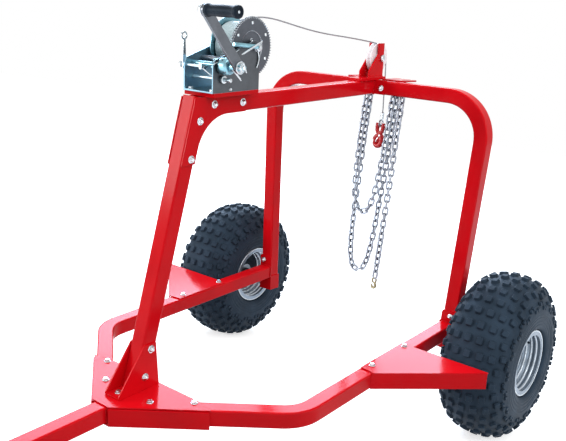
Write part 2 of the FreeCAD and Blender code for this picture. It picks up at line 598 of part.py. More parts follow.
def make_sheave_pin():
    outer = EAR_INNER + HEAVY_PLATE
    end = outer + PIN_HEAD
    shaft = rod(SHEAVE_PIN_RADIUS, -end - 1, end + 1, SHEAVE_Y, SHEAVE_Z)
    heads = [rod(PIN_HEAD_RADIUS, x0, x0 + PIN_HEAD, SHEAVE_Y, SHEAVE_Z) for x0 in (outer, -end)]
    return fused([shaft] + heads)


def make_sheave():
    half, edge, floor = SHEAVE_WIDTH / 2, 2.0, SHEAVE_RADIUS - SHEAVE_GROOVE
    hub, face, bore = SHEAVE_HUB_RADIUS, EAR_INNER - 1, SHEAVE_PIN_RADIUS + RUNNING_FIT
    outline = [(-half, SHEAVE_RADIUS), (-half + edge, SHEAVE_RADIUS), (-edge, floor), (edge, floor),
               (half - edge, SHEAVE_RADIUS), (half, SHEAVE_RADIUS), (half, hub), (face, hub), (face, bore),
               (-face, bore), (-face, hub), (-half, hub)]
    sheave = revolved(outline, 0)
    sheave.translate(Vector(0, SHEAVE_Y, SHEAVE_Z))
    return sheave


def make_chain_plate():
    """Plate on the cross beam, right of the middle, with slots at its rear edge for chain links."""
    rear = HALF + CHAIN_PLATE_REACH
    top = ARCH_HEIGHT + HEAVY_PLATE
    plate = box(CHAIN_PLATE_INNER, CHAIN_PLATE_OUTER, CHAIN_PLATE_FRONT, rear, ARCH_HEIGHT, top)
    half = CHAIN_SLOT / 2
    for x in CHAIN_SLOTS:
        slot = box(x - half, x + half, HALF + CHAIN_SLOT_START, rear + 1, ARCH_HEIGHT - 1, top + 1)
        plate = plate.cut(slot)
    return arch_frame(plate)


# ---------------------------------------------------------------- winch
def winch_cheek(x0, x1):
    """Side plate: upright at the front, sloping up to a round end over the drum's shaft."""
    front_top = WINCH_BOTTOM + CHEEK_FRONT
    slope_foot = Vector(0, WINCH_FRONT + 10, front_top + 15)
    centre = Vector(0, DRUM_Y, DRUM_Z)
    gap = centre - slope_foot
    square_on = math.atan2(gap.z, gap.y) + math.pi / 2 + math.asin(CHEEK_ROUND / gap.Length)
    normal = Vector(0, math.cos(square_on), math.sin(square_on))
    touch = centre + normal * CHEEK_ROUND
    rear = centre + Y_AXIS * CHEEK_ROUND
    top = centre + (normal + Y_AXIS).normalize() * CHEEK_ROUND
    points = [rear, Vector(0, rear.y, WINCH_BOTTOM), Vector(0, WINCH_FRONT, WINCH_BOTTOM),
              Vector(0, WINCH_FRONT, front_top), slope_foot, touch]
    edges = [Part.LineSegment(a, b).toShape() for a, b in zip(points, points[1:])]
    face = Part.Face(Part.Wire(edges + [Part.Arc(touch, top, rear).toShape()]))
    face.translate(Vector(x0, 0, 0))
    return face.extrude(Vector(x1 - x0, 0, 0))


def crank_axis():
    return Vector(0, CRANK_Y, DRUM_Z - CRANK_Z_DROP)


def drum_axis():
    return Vector(0, DRUM_Y, DRUM_Z)


def idler_axis():
    """Between the other two, on the line that joins them."""
    crank = crank_axis()
    return crank + (drum_axis() - crank).normalize() * (PINION_PITCH + IDLER_PITCH + GEAR_PLAY)


def make_winch_frame():
    half, inner = WINCH_HALF_WIDTH, WINCH_HALF_WIDTH - WINCH_PLATE
    base = box(-half, half, WINCH_FRONT, WINCH_REAR, WINCH_BOTTOM, WINCH_BOTTOM + WINCH_PLATE)
    frame = fused([base, winch_cheek(inner, half), winch_cheek(-half, -inner)])
    crank = crank_axis()
    bush = rod(BUSH_RADIUS, half, half + BUSH_LENGTH, crank.y, crank.z)
    frame = fused([frame, bush])
    hole = SHAFT_RADIUS + RUNNING_FIT
    for axis in (crank, drum_axis(), idler_axis()):
        frame = frame.cut(rod(hole, -half - 1, half + BUSH_LENGTH + 1, axis.y, axis.z))
    (y1, z1, r1), (y2, z2, r2) = tie_rods()
    frame = frame.cut(rod(r1, -half - 1, 0, y1, z1))
    frame = frame.cut(rod(r2, -half - 1, half + 1, y2, z2))
    return frame


def tie_rods():
    """Places of the plain rods across the winch: pawl pivot and spreader."""
    return [(WINCH_FRONT + back, WINCH_BOTTOM + up, radius) for back, up, radius in (PAWL_ROD, SPREADER_ROD)]


def make_winch_rods():
    half = WINCH_HALF_WIDTH
    (y1, z1, r1), (y2, z2, r2) = tie_rods()
    pawl = plate_yz([(y1 - 8, z1 - 8), (y1 + 7, z1 - 7), (y1 + 9, z1 + 4), (y1 - 8, z1 + 8)], 0, 10)
    lever = half + PAWL_LEVER_GAP
    head = rod(8, -lever - PAWL_LEVER - 4, -lever - PAWL_LEVER, y1, z1)
    spacer = rod(8, -lever, -half, y1, z1)
    pawl_pivot = fused([rod(r1, -lever - PAWL_LEVER, 10, y1, z1), head, spacer, pawl])
    spreader = fused([rod(r2, -half - 2, half + 32, y2, z2), rod(9, half, half + 6, y2, z2)])
    return Part.makeCompound([pawl_pivot, spreader])


def make_pawl_lever():
    """Bent strip outside the left plate, with a finger ring at its top."""
    x1 = -WINCH_HALF_WIDTH - PAWL_LEVER_GAP
    x0 = x1 - PAWL_LEVER
    (y, z, radius), _ = tie_rods()
    strip = plate_yz([(y - 7, z - 12), (y + 7, z - 12), (y + 4, z + 70), (y - 4, z + 70)], x0, x1)
    loop = ring(12, 7, x0, x1, y - 1, z + 80)
    return fused([strip, loop]).cut(rod(radius, x0 - 1, x1 + 1, y, z))


def gear(teeth, x0, x1, y, z, phase, bore):
    """Straight-toothed gear about an axis along X, with a tooth centred on the phase angle."""
    pitch = teeth * GEAR_MODULE / 2
    tip, root = pitch + TOOTH_TIP, pitch - TOOTH_ROOT
    step = 2 * math.pi / teeth
    shares = [(-0.29, root), (-0.11, tip), (0.11, tip), (0.29, root)]
    points = []
    for tooth in range(teeth):
        for share, radius in shares:
            angle = phase + (tooth + share) * step
            points.append((y + radius * math.cos(angle), z + radius * math.sin(angle)))
    return plate_yz(points, x0, x1).cut(rod(bore, x0 - 1, x1 + 1, y, z))


def mesh_phases():
    """Angles of a tooth on drum, idler and pinion gears so that tooth meets gap at rest."""
    crank, drum, idler = crank_axis(), drum_axis(), idler_axis()
    towards = lambda a, b: math.atan2(b.z - a.z, b.y - a.y)
    drum_phase = towards(drum, idler)
    idler_phase = towards(idler, drum) + math.pi / IDLER_TEETH
    half_turns = (towards(idler, crank) - idler_phase) * IDLER_TEETH / (2 * math.pi)
    rest = half_turns - math.floor(half_turns)
    pinion_phase = towards(crank, idler) + (rest + 0.5) * 2 * math.pi / PINION_TEETH
    return drum_phase, idler_phase, pinion_phase


def make_drum_shaft():
    half = WINCH_HALF_WIDTH
    shaft = rod(SHAFT_RADIUS, -half - 2, half + 3, DRUM_Y, DRUM_Z)
    heads = [rod(SHAFT_HEAD_RADIUS, x0, x0 + SHAFT_HEAD, DRUM_Y, DRUM_Z) for x0 in (half, -half - SHAFT_HEAD)]
    return fused([shaft] + heads)


def make_drum():
    """Barrel with a flange at each end."""
    y, z = DRUM_Y, DRUM_Z
    far = ring(FLANGE_RADIUS, SHAFT_RADIUS + RUNNING_FIT, DRUM_FAR_X, DRUM_FAR_X + DRUM_SHEET, y, z)
    near_radius = FLANGE_RADIUS - NEAR_FLANGE_INSET
    near = ring(near_radius, SHAFT_RADIUS + RUNNING_FIT, GEAR_X - DRUM_SHEET, GEAR_X, y, z)
    barrel = ring(BARREL_RADIUS, SHAFT_RADIUS + RUNNING_FIT, DRUM_FAR_X, GEAR_X, y, z)
    boss = ring(BOSS_RADIUS, SHAFT_RADIUS + RUNNING_FIT, DRUM_FAR_X - 9.5, DRUM_FAR_X, y, z)
    return fused([far, near, barrel, boss])


def make_drum_gear():
    y, z = DRUM_Y, DRUM_Z
    phase, _, _ = mesh_phases()
    wheel = gear(DRUM_TEETH, GEAR_X, GEAR_X + GEAR_FACE, y, z, phase, SHAFT_RADIUS + RUNNING_FIT)
    wheel = wheel.cut(rod(GEAR_RECESS_RADIUS, GEAR_X + GEAR_FACE - GEAR_RECESS, GEAR_X + 2 * GEAR_FACE, y, z))
    boss = ring(BOSS_RADIUS, SHAFT_RADIUS + RUNNING_FIT, GEAR_X + 3, WINCH_HALF_WIDTH - WINCH_PLATE - 0.5, y, z)
    return fused([wheel, boss])


def make_wound_cable():
    far, near = DRUM_FAR_X + DRUM_SHEET + WOUND_PLAY, GEAR_X - DRUM_SHEET - WOUND_PLAY
    return ring(COIL_RADIUS, BARREL_RADIUS, far, near, DRUM_Y, DRUM_Z)


def make_idler_gear():
    axis = idler_axis()
    _, phase, _ = mesh_phases()
    inner = WINCH_HALF_WIDTH - WINCH_PLATE
    wheel = gear(IDLER_TEETH, GEAR_X - 1, GEAR_X + GEAR_FACE + 1, axis.y, axis.z, phase, SHAFT_RADIUS - SHAFT_KEY)
    shaft = rod(SHAFT_RADIUS, -inner - 1, inner + WINCH_PLATE, axis.y, axis.z)
    collar = rod(13, GEAR_X + GEAR_FACE, inner - 0.5, axis.y, axis.z)
    return fused([wheel, shaft, collar])


def make_crank_shaft():
    axis = crank_axis()
    _, _, phase = mesh_phases()
    inner = WINCH_HALF_WIDTH - WINCH_PLATE
    bore, arm = SHAFT_RADIUS - SHAFT_KEY, CRANK_ARM_X + CRANK_ARM_THICK
    wheel = gear(PINION_TEETH, GEAR_X - 3, GEAR_X + GEAR_FACE + 3, axis.y, axis.z, phase, bore)
    shaft = rod(SHAFT_RADIUS, -inner - WINCH_PLATE - 6, arm + CRANK_NUT + 6, axis.y, axis.z)
    collar = rod(CRANK_NUT_RADIUS, arm, arm + CRANK_NUT, axis.y, axis.z)
    sleeve = rod(13, WINCH_HALF_WIDTH + BUSH_LENGTH + 0.5, CRANK_ARM_X, axis.y, axis.z)
    return fused([wheel, shaft, collar, sleeve])


def crank_end():
    """The grip's axis, at the far end of the crank arm."""
    angle = math.radians(CRANK_ARM_ANGLE)
    return crank_axis() + Vector(0, -math.sin(angle), math.cos(angle)) * CRANK_ARM_LENGTH


def make_crank_arm():
    hub, end = crank_axis(), crank_end()
    x0, x1 = CRANK_ARM_X, CRANK_ARM_X + CRANK_ARM_THICK
    along = (end - hub).normalize()
    side = Vector(0, -along.z, along.y) * (CRANK_ARM_WIDTH / 2)
    corners = [hub + side, end + side * 0.9, end - side * 0.9, hub - side]
    bar = plate_yz([(p.y, p.z) for p in corners], x0, x1)
    rounds = [rod(CRANK_ARM_WIDTH / 2, x0, x1, hub.y, hub.z), rod(CRANK_ARM_WIDTH * 0.45, x0, x1, end.y, end.z)]
    return fused([bar] + rounds).cut(rod(SHAFT_RADIUS, x0 - 1, x1 + 1, hub.y, hub.z))


def make_crank_grip():
    end = crank_end()
    start = CRANK_ARM_X + CRANK_ARM_THICK
    grip = rod(GRIP_RADIUS, start, start + GRIP_LENGTH, end.y, end.z)
    return grip.makeFillet(4.0, [edge for edge in grip.Edges if edge.BoundBox.XLength < 0.01])


# ---------------------------------------------------------------- coupling
def make_coupling_head():
    """Pressed ball coupling on the drawbar's end: sleeve, socket and locking handle."""
    half = HALF + SLEEVE_WALL
    end = COUPLING_Y + DRAWBAR_SETBACK
    rear = end + SLEEVE_LENGTH
    sleeve = box(-half, half, end - SLEEVE_FRONT_WALL, rear, BEAM_BOTTOM - SLEEVE_WALL, BEAM_TOP + SLEEVE_WALL)
    sleeve = sleeve.cut(box(-HALF, HALF, end, rear + 1, BEAM_BOTTOM, BEAM_TOP))
    neck = box(1 - HALF, HALF - 1, COUPLING_Y, end - 1, BALL_Z - SOCKET_SKIRT, BEAM_TOP)
    handle_z = BEAM_TOP + SLEEVE_WALL + HANDLE_GAP
    handle = box(-9, 9, COUPLING_Y + 8, COUPLING_Y + 120, handle_z, handle_z + 8)
    handle = handle.makeFillet(3.5, handle.Edges)
    stem = box(-7, 7, COUPLING_Y + 16, COUPLING_Y + 34, BEAM_TOP - 4, handle_z + 3)
    ball, centre = COUPLING_BALL / 2 + BALL_PLAY, Vector(0, COUPLING_Y, BALL_Z)
    below = centre - Z_AXIS * SOCKET_SKIRT
    dome = Part.makeSphere(SOCKET_RADIUS, centre)
    dome = dome.cut(Part.makeCylinder(2 * SOCKET_RADIUS, 2 * SOCKET_RADIUS, below, -Z_AXIS))
    skirt = Part.makeCylinder(SOCKET_RADIUS, SOCKET_SKIRT, below, Z_AXIS)
    cavity = Part.makeSphere(ball, centre).fuse(Part.makeCylinder(ball, COUPLING_BALL, centre, -Z_AXIS))
    return fused([sleeve, neck, dome, skirt, handle, stem]).cut(cavity)


def coupling_rest():
    """The point of the coupling that meets the floor, from the wheels' axis."""
    return COUPLING_Y - SOCKET_RADIUS, BALL_Z - SOCKET_SKIRT


def pitch_angle():
    """Nose-down turn about the wheels' axis that brings the coupling to the floor."""
    y, z = coupling_rest()
    reach = math.hypot(y, z)
    return math.degrees(math.atan2(z, -y) + math.asin(TYRE_RADIUS / reach))


# ---------------------------------------------------------------- cable, hook and chains
def cord_tube(points, radius, name):
    """Tube along straight runs with an arc at each inner point, as large as the runs allow."""
    edges, here, radii = [], points[0], []
    for before, corner, after in zip(points, points[1:], points[2:]):
        back, ahead = before - corner, after - corner
        run = min(back.Length, ahead.Length)
        half_angle = back.getAngle(ahead) / 2
        reach = 0.45 * run
        radii.append(reach * math.tan(half_angle))
        back, ahead = back.normalize(), ahead.normalize()
        middle = corner + (back + ahead).normalize() * (radii[-1] / math.sin(half_angle) - radii[-1])
        first, last = corner + back * reach, corner + ahead * reach
        edges.append(Part.LineSegment(here, first).toShape())
        edges.append(Part.Arc(first, middle, last).toShape())
        here = last
    edges.append(Part.LineSegment(here, points[-1]).toShape())
    path = Part.Wire(edges)
    start = (points[1] - points[0]).normalize()
    section = Part.Wire([Part.Circle(points[0], start, radius).toShape()])
    tube = path.makePipeShell([section], True, False)
    expected = math.pi * radius ** 2 * path.Length
    print(name, "length %.0f" % path.Length, "volume ratio %.4f" % (tube.Volume / expected),
          "radii", " ".join("%.0f" % r for r in radii))
    return tube


def under_chain_plates(tube):
    """Trim a chain's tube flat against the underside of the chain plates."""
    above = arch_frame(box(-300, 300, -100, 400, ARCH_HEIGHT, ARCH_HEIGHT + 200))
    return tube.cut(parked(above))


def route(points):
    return [Vector(*point) for point in points]


def rod_along(edges, radius):
    """Round bar along a chain of lines and arcs, with a ball at each joint."""
    pieces = []
    for edge in edges:
        start = edge.Vertexes[0].Point
        section = Part.Wire([Part.Circle(start, edge.tangentAt(edge.FirstParameter), radius).toShape()])
        pieces.append(Part.Wire([edge]).makePipeShell([section], True, False))
        pieces += [Part.makeSphere(radius, vertex.Point) for vertex in edge.Vertexes]
    return pieces


def hook_edges(top, bend, depth, reach):
    """Centre line of a hook in the XZ plane: down one side, round the bend and up to the tip."""
    side, low = top + Vector(bend, 0, -depth * 0.6), top + Vector(bend, 0, -depth)
    far = low - Vector(2 * bend, 0, 0)
    tip = far + Vector(-bend * 0.2, 0, reach)
    bottom = (low + far) * 0.5 - Vector(0, 0, bend)
    return [Part.LineSegment(top, side).toShape(), Part.LineSegment(side, low).toShape(),
            Part.Arc(low, bottom, far).toShape(), Part.LineSegment(far, tip).toShape()]


def make_cable_hook():
    """Ferrule and thimble on the cable's end, and a forged hook with its latch in the thimble."""
    end = Vector(*CABLE_ROUTE[-1])
    loop, bar, eye, eye_bar, play = 13.0, 3.5, 14.0, 5.0, 0.3
    ferrule = Part.makeCylinder(FERRULE_RADIUS, 26, end - Vector(0, 0, 26), Z_AXIS)
    loop_centre = end - Vector(0, 0, 38)
    thimble = fused([ferrule, Part.makeTorus(loop, bar, loop_centre, X_AXIS)])
    eye_centre = loop_centre - Vector(0, 0, loop + eye - bar - eye_bar - play)
    neck = eye_centre - Vector(0, 0, eye)
    hook = [Part.makeTorus(eye, eye_bar, eye_centre, Y_AXIS)]
    hook += rod_along(hook_edges(neck, HOOK_BEND, 44, 12), HOOK_RADIUS)
    latch = Part.makeCylinder(2.5, 2 * HOOK_BEND, neck + Vector(HOOK_BEND, 0, -20), Vector(-1, 0, -0.3))
    return Part.makeCompound([thimble, fused(hook + [latch])])


def make_chain_end_hook():
    """Small hook on the chain's free end."""
    end = Vector(*CHAIN_TAIL[-1])
    eye, bar = 8.0, 3.0
    centre = end - Vector(0, 0, eye + bar)
    neck = centre - Vector(0, 0, eye)
    pieces = [Part.makeTorus(eye, bar, centre, Y_AXIS)]
    return fused(pieces + rod_along(hook_edges(neck, 8.0, 14, 5), 3.5))


def parked(shape):
    """Turn a piece from the body frame to the parked pose, with z from the floor."""
    moved = shape.copy()
    moved.rotate(Vector(0, 0, 0), X_AXIS, pitch_angle())
    moved.translate(Vector(0, 0, TYRE_RADIUS))
    return moved


def main():
    os.makedirs("parts", exist_ok=True)
    nodes = {
        "drawbar": make_drawbar(),
        "coupling_head": make_coupling_head(),
        "side_beam_right": make_side_beam(),
        "nose_plate": make_nose_plate(),
        "nose_tray": make_nose_tray(),
        "post_foot": make_post_foot(),
        "post": make_post(),
        "boom": make_boom(),
        "corner_bracket": make_corner_bracket(),
        "arch": make_arch(),
        "leg_socket_right": make_leg_socket(),
        "stub_axle_right": make_stub_axle(),
        "hub_right": make_hub(),
        "rim_right": make_rim(),
        "tyre_right": make_tyre(),
        "deflector_right": make_deflector(),
        "saddle": make_saddle(),
        "sheave_pin": make_sheave_pin(),
        "sheave": make_sheave(),
        "chain_plate_right": make_chain_plate(),
        "winch_frame": make_winch_frame(),
        "winch_rods": make_winch_rods(),
        "pawl_lever": make_pawl_lever(),
        "drum_shaft": make_drum_shaft(),
        "drum": make_drum(),
        "drum_gear": make_drum_gear(),
        "wound_cable": make_wound_cable(),
        "idler_gear": make_idler_gear(),
        "crank_shaft": make_crank_shaft(),
        "crank_arm": make_crank_arm(),
        "crank_grip": make_crank_grip(),
    }
    for name in [name for name in nodes if name.endswith("_right")]:
        nodes[name.replace("_right", "_left")] = mirrored(nodes[name])
    nodes = {name: parked(shape) for name, shape in nodes.items()}
    outline = Part.makeCompound(list(nodes.values())).optimalBoundingBox()
    hanging = {
        "cable_hook": make_cable_hook(),
        "chain_end_hook": make_chain_end_hook(),
        "winch_cable": cord_tube(route(CABLE_ROUTE), CABLE_RADIUS, "winch_cable"),
        "chain_small_loop": under_chain_plates(cord_tube(route(SMALL_LOOP), CHAIN_RADIUS, "small loop")),
        "chain_large_loop": under_chain_plates(cord_tube(route(LARGE_LOOP), CHAIN_RADIUS, "large loop")),
        "chain_tail": under_chain_plates(cord_tube(route(CHAIN_TAIL), CHAIN_RADIUS, "chain tail")),
    }
    nodes.update(hanging)
    shift = Vector(0, -(outline.YMin + outline.YMax) / 2, 0)
    print("pitch %.3f" % pitch_angle(), "shift %.3f" % shift.y, "outline", outline)
    for name, shape in nodes.items():
        shape.translate(shift)
        shape.exportStep("parts/%s.step" % name)
        print("%-20s valid %s solids %d volume %.0f" % (name, shape.isValid(), len(shape.Solids), shape.Volume))


main()
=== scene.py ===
"""Looks of a log arch trailer with a hand winch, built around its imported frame."""
import json
import logging
import math
from dataclasses import dataclass, field
from enum import Enum
from typing import Callable, Iterable, Optional, Sequence

import bmesh
import bpy
from mathutils import Matrix, Vector, noise


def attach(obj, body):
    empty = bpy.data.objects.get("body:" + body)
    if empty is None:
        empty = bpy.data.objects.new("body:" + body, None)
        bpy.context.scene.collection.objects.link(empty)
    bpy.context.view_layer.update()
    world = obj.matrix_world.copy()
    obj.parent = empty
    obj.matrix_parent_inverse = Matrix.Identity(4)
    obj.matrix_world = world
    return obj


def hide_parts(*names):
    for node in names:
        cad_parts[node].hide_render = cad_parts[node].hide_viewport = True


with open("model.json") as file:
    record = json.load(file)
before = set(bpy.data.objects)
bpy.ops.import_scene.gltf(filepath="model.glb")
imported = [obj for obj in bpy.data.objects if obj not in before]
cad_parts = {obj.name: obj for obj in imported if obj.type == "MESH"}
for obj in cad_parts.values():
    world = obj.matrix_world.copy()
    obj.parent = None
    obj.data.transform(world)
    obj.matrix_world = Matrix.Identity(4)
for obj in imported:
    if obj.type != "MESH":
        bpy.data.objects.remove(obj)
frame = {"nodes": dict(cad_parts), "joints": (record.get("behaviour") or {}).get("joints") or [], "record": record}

LOG = logging.getLogger("log_arch")
MM = 0.001
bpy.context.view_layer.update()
TURN = 2 * math.pi
# Parts round the turn of a head or nut
HEXAGON = 6
# Sine of the lean below which a direction counts as upright, and cosine above which it counts as along another
UPRIGHT, ALONG = 0.1, 0.8
# Length too small to divide by
NO_LENGTH = 1e-12

Rgb = tuple[float, float, float]
Point = tuple[float, float, float]
Pair = tuple[float, float]
Profile = Sequence[Pair]
Triple = tuple[float, float, float]
Tone = Rgb | bpy.types.NodeSocket


class Body(Enum):
    """Bodies that the scene's own pieces ride on."""

    FRAME = "frame"
    WHEEL_LEFT = "wheel_left"
    WHEEL_RIGHT = "wheel_right"
    DRUM = "winch_drum"
    CRANK = "crank"


class Slot(Enum):
    """Finishes that the record names."""

    RED = "red_paint"
    ZINC = "zinc_plate"
    RUBBER = "tyre_rubber"
    RIM = "rim_silver"
    GRIP = "grip_black"
    CHAIN = "chain_zinc"
    ROPE = "wire_rope"
    HOOK = "hook_red"
    BRASS = "hook_yellow_zinc"
    SHEAVE = "sheave_zinc"


class Side(Enum):
    """Left and right of the trailer, looking forward."""

    LEFT = -1
    RIGHT = 1

    @property
    def word(self) -> str:
        """Name as it stands in the names of nodes."""
        return self.name.lower()

    @property
    def wheel(self) -> Body:
        """Body of this side's wheel."""
        return Body.WHEEL_RIGHT if self is Side.RIGHT else Body.WHEEL_LEFT


# ---------------------------------------------------------------- where things are
@dataclass(frozen=True)
class Stance:
    """How the trailer stands: the level frame its pieces are laid out in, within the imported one.

    The level frame has X to the right, Y to the rear and Z up, in millimetres, with its origin on
    the wheels' axis in the middle of the track.  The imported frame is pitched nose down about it.
    """

    pitch: float
    axle: Vector

    @classmethod
    def of_frame(cls) -> "Stance":
        """Read the pitch from the coupling's mount and the axle from a wheel's joint.

        Returns:
            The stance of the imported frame.
        """
        mounts = {mount["name"]: mount for mount in frame["record"]["mounts"]}
        joints = {joint["name"]: joint for joint in frame["joints"]}
        _, rear, down = mounts["tow_ball_socket"]["axis"]
        _, y, z = joints["wheel_right_spin"]["pos_m"]
        return cls(math.atan2(rear, -down), Vector((0, y, z)))

    def matrix(self) -> Matrix:
        """Turn level millimetres into packed metres."""
        return Matrix.Translation(self.axle) @ Matrix.Rotation(self.pitch, 4, "X") @ Matrix.Scale(MM, 4)

    def point(self, x: float, y: float, z: float) -> Vector:
        """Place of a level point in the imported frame."""
        return self.matrix() @ Vector((x, y, z))

    def direction(self, x: float, y: float, z: float) -> Vector:
        """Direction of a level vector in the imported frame."""
        return Matrix.Rotation(self.pitch, 3, "X") @ Vector((x, y, z))


STANCE = Stance.of_frame()

# Places that two sub-assemblies share, in level millimetres: half the track, and the drum's axis as (y, z)
HALF_TRACK = 619.0
DRUM_AXIS = (-697.0, 1026.0)


@dataclass(frozen=True)
class Viewpoint:
    """Where the camera stands, in the level frame."""

    azimuth: float = 38.547
    elevation: float = 16.145
    roll: float = 2.352
    distance: float = 2731.5
    target: Point = (-29.9, -426.0, 430.4)
    focal: float = 50.68
    sensor: float = 36.0

    def build(self) -> bpy.types.Object:
        """Make the scene's camera.

        Returns:
            The camera, already set as the scene's own.
        """
        a, e, r = (math.radians(value) for value in (self.azimuth, self.elevation, self.roll))
        back = Vector((math.sin(a) * math.cos(e), -math.cos(a) * math.cos(e), math.sin(e)))
        right = (-back).cross(Vector((0, 0, 1))).normalized()
        up = right.cross(-back)
        turned_right = right * math.cos(r) + up * math.sin(r)
        turned_up = up * math.cos(r) - right * math.sin(r)
        place = Vector(self.target) + back * self.distance
        camera = bpy.data.objects.new("camera", bpy.data.cameras.new("camera"))
        camera.data.lens, camera.data.sensor_width = self.focal, self.sensor
        axes = [STANCE.direction(*axis) for axis in (turned_right, turned_up, back)]
        camera.matrix_world = Matrix.Translation(STANCE.point(*place)) @ Matrix(axes).transposed().to_4x4()
        bpy.context.scene.collection.objects.link(camera)
        bpy.context.scene.camera = camera
        return camera


# ---------------------------------------------------------------- finishes
class Shader:
    """Builds one material's nodes around its Principled shader."""

    # Places of the colours among a Mix node's sockets
    MIX_FIRST, MIX_SECOND, MIX_RESULT = 6, 7, 2
    # Rays that look for an edge to round over, and for a hollow that gets painted shade
    EDGE_SAMPLES, HOLLOW_SAMPLES = 4, 6
    # Cosine between the plain and the rounded normal at a full edge
    FULL_EDGE = 0.75
    # Range that holds nearly all of a noise's values
    NOISE_LOW, NOISE_HIGH = 0.3, 0.7

    def __init__(self, title: str) -> None:
        """Start a material.

        Args:
            title: the material's name.
        """
        self.material = bpy.data.materials.new(title)
        self.material.use_nodes = True
        self.tree = self.material.node_tree
        self.surface = self.tree.nodes["Principled BSDF"]
        self.place = self.node("ShaderNodeTexCoord").outputs["Object"]

    def node(self, kind: str, **settings: object) -> bpy.types.Node:
        """Add a node and set its properties.

        Args:
            kind: the node's type.
            settings: properties to set on it.

        Returns:
            The node.
        """
        made = self.tree.nodes.new(kind)
        for key, value in settings.items():
            setattr(made, key, value)
        return made

    def fill(self, node: bpy.types.Node, values: dict[str, object]) -> None:
        """Set a node's inputs by name."""
        for socket, value in values.items():
            node.inputs[socket].default_value = value

    def join(self, source: bpy.types.NodeSocket, target: bpy.types.NodeSocket) -> None:
        """Link an output to an input."""
        self.tree.links.new(source, target)

    def into(self, socket: str, source: bpy.types.NodeSocket) -> None:
        """Link an output to one of the surface's sockets."""
        self.join(source, self.surface.inputs[socket])

    def grain(self, scale: float, detail: float = 2.0, rough: float = 0.5,
              stretch: Point = (1, 1, 1)) -> bpy.types.NodeSocket:
        """Noise over the object.

        Args:
            scale: features to the metre.
            detail: octaves.
            rough: share that each finer octave keeps.
            stretch: scale along each axis.

        Returns:
            The noise's value.
        """
        mapping = self.node("ShaderNodeMapping")
        self.fill(mapping, {"Scale": stretch})
        self.join(self.place, mapping.inputs["Vector"])
        made = self.node("ShaderNodeTexNoise")
        self.fill(made, {"Scale": scale, "Detail": detail, "Roughness": rough})
        self.join(mapping.outputs["Vector"], made.inputs["Vector"])
        return made.outputs["Fac"]

    def cells(self, scale: float) -> bpy.types.NodeSocket:
        """Grey level of Voronoi cells.

        Args:
            scale: cells to the metre.

        Returns:
            The grey level, 0 to 1.
        """
        made = self.node("ShaderNodeTexVoronoi")
        self.fill(made, {"Scale": scale})
        self.join(self.place, made.inputs["Vector"])
        grey = self.node("ShaderNodeRGBToBW")
        self.join(made.outputs["Color"], grey.inputs["Color"])
        return grey.outputs["Val"]

    def span(self, value: bpy.types.NodeSocket, start: float, end: float, low: float = 0.0,
             high: float = 1.0) -> bpy.types.NodeSocket:
        """Map a value's range, clamped, onto another.

        Args:
            value: what to map.
            start: value that becomes low.
            end: value that becomes high.
            low: least result.
            high: greatest result.

        Returns:
            The mapped value.
        """
        made = self.node("ShaderNodeMapRange")
        self.fill(made, {"From Min": start, "From Max": end, "To Min": low, "To Max": high})
        self.join(value, made.inputs["Value"])
        return made.outputs["Result"]

    def blend(self, amount: bpy.types.NodeSocket, low: Tone, high: Tone) -> bpy.types.NodeSocket:
        """Mix two colours, each a triple or an output.

        Args:
            amount: 0 for the first, 1 for the second.
            low: first colour.
            high: second colour.

        Returns:
            The mixed colour.
        """
        made = self.node("ShaderNodeMix", data_type="RGBA")
        self.join(amount, made.inputs["Factor"])
        for place, colour in ((self.MIX_FIRST, low), (self.MIX_SECOND, high)):
            if isinstance(colour, tuple):
                made.inputs[place].default_value = (*colour, 1.0)
            else:
                self.join(colour, made.inputs[place])
        return made.outputs[self.MIX_RESULT]

    def clouds(self, value: bpy.types.NodeSocket, low: Tone, high: Tone, start: float = 0.35,
               end: float = 0.65) -> bpy.types.NodeSocket:
        """Drift from one colour to another as a noise rises.

        Args:
            value: the noise.
            low: colour where it is low.
            high: colour where it is high.
            start: where the first colour begins to give way.
            end: where the second has taken over.

        Returns:
            The cloudy colour.
        """
        return self.blend(self.span(value, start, end), low, high)

    def over(self, tone: Tone, colour: Tone, where: bpy.types.NodeSocket, limits: Pair,
             shares: Pair) -> bpy.types.NodeSocket:
        """Lay a colour over a tone, in places.

        Args:
            tone: what is below.
            colour: what is laid over it.
            where: value that says how much.
            limits: two of its values.
            shares: share of the colour at each of them.

        Returns:
            The result.
        """
        return self.blend(self.span(where, *limits, *shares), tone, colour)

    def rounded(self, radius: float) -> bpy.types.NodeSocket:
        """Round the edges over, in the shading alone.

        Args:
            radius: in millimetres.

        Returns:
            The rounded normal.
        """
        made = self.node("ShaderNodeBevel", samples=self.EDGE_SAMPLES)
        self.fill(made, {"Radius": radius * MM})
        return made.outputs["Normal"]

    def edges(self, rounded: bpy.types.NodeSocket) -> bpy.types.NodeSocket:
        """How near a sharp edge is: 0 on a face, 1 at the edge.

        Args:
            rounded: the rounded normal.

        Returns:
            The nearness.
        """
        plain = self.node("ShaderNodeNewGeometry").outputs["Normal"]
        product = self.node("ShaderNodeVectorMath", operation="DOT_PRODUCT")
        self.join(rounded, product.inputs[0])
        self.join(plain, product.inputs[1])
        return self.span(product.outputs["Value"], 1.0, self.FULL_EDGE)

    def hollow_shade(self, reach: float) -> bpy.types.NodeSocket:
        """How open a place is: the mask for painted shade in hollows.

        Args:
            reach: width in millimetres below which a hollow counts.

        Returns:
            1 in the open, less in a hollow.
        """
        made = self.node("ShaderNodeAmbientOcclusion", samples=self.HOLLOW_SAMPLES)
        self.fill(made, {"Distance": reach * MM})
        return made.outputs["AO"]

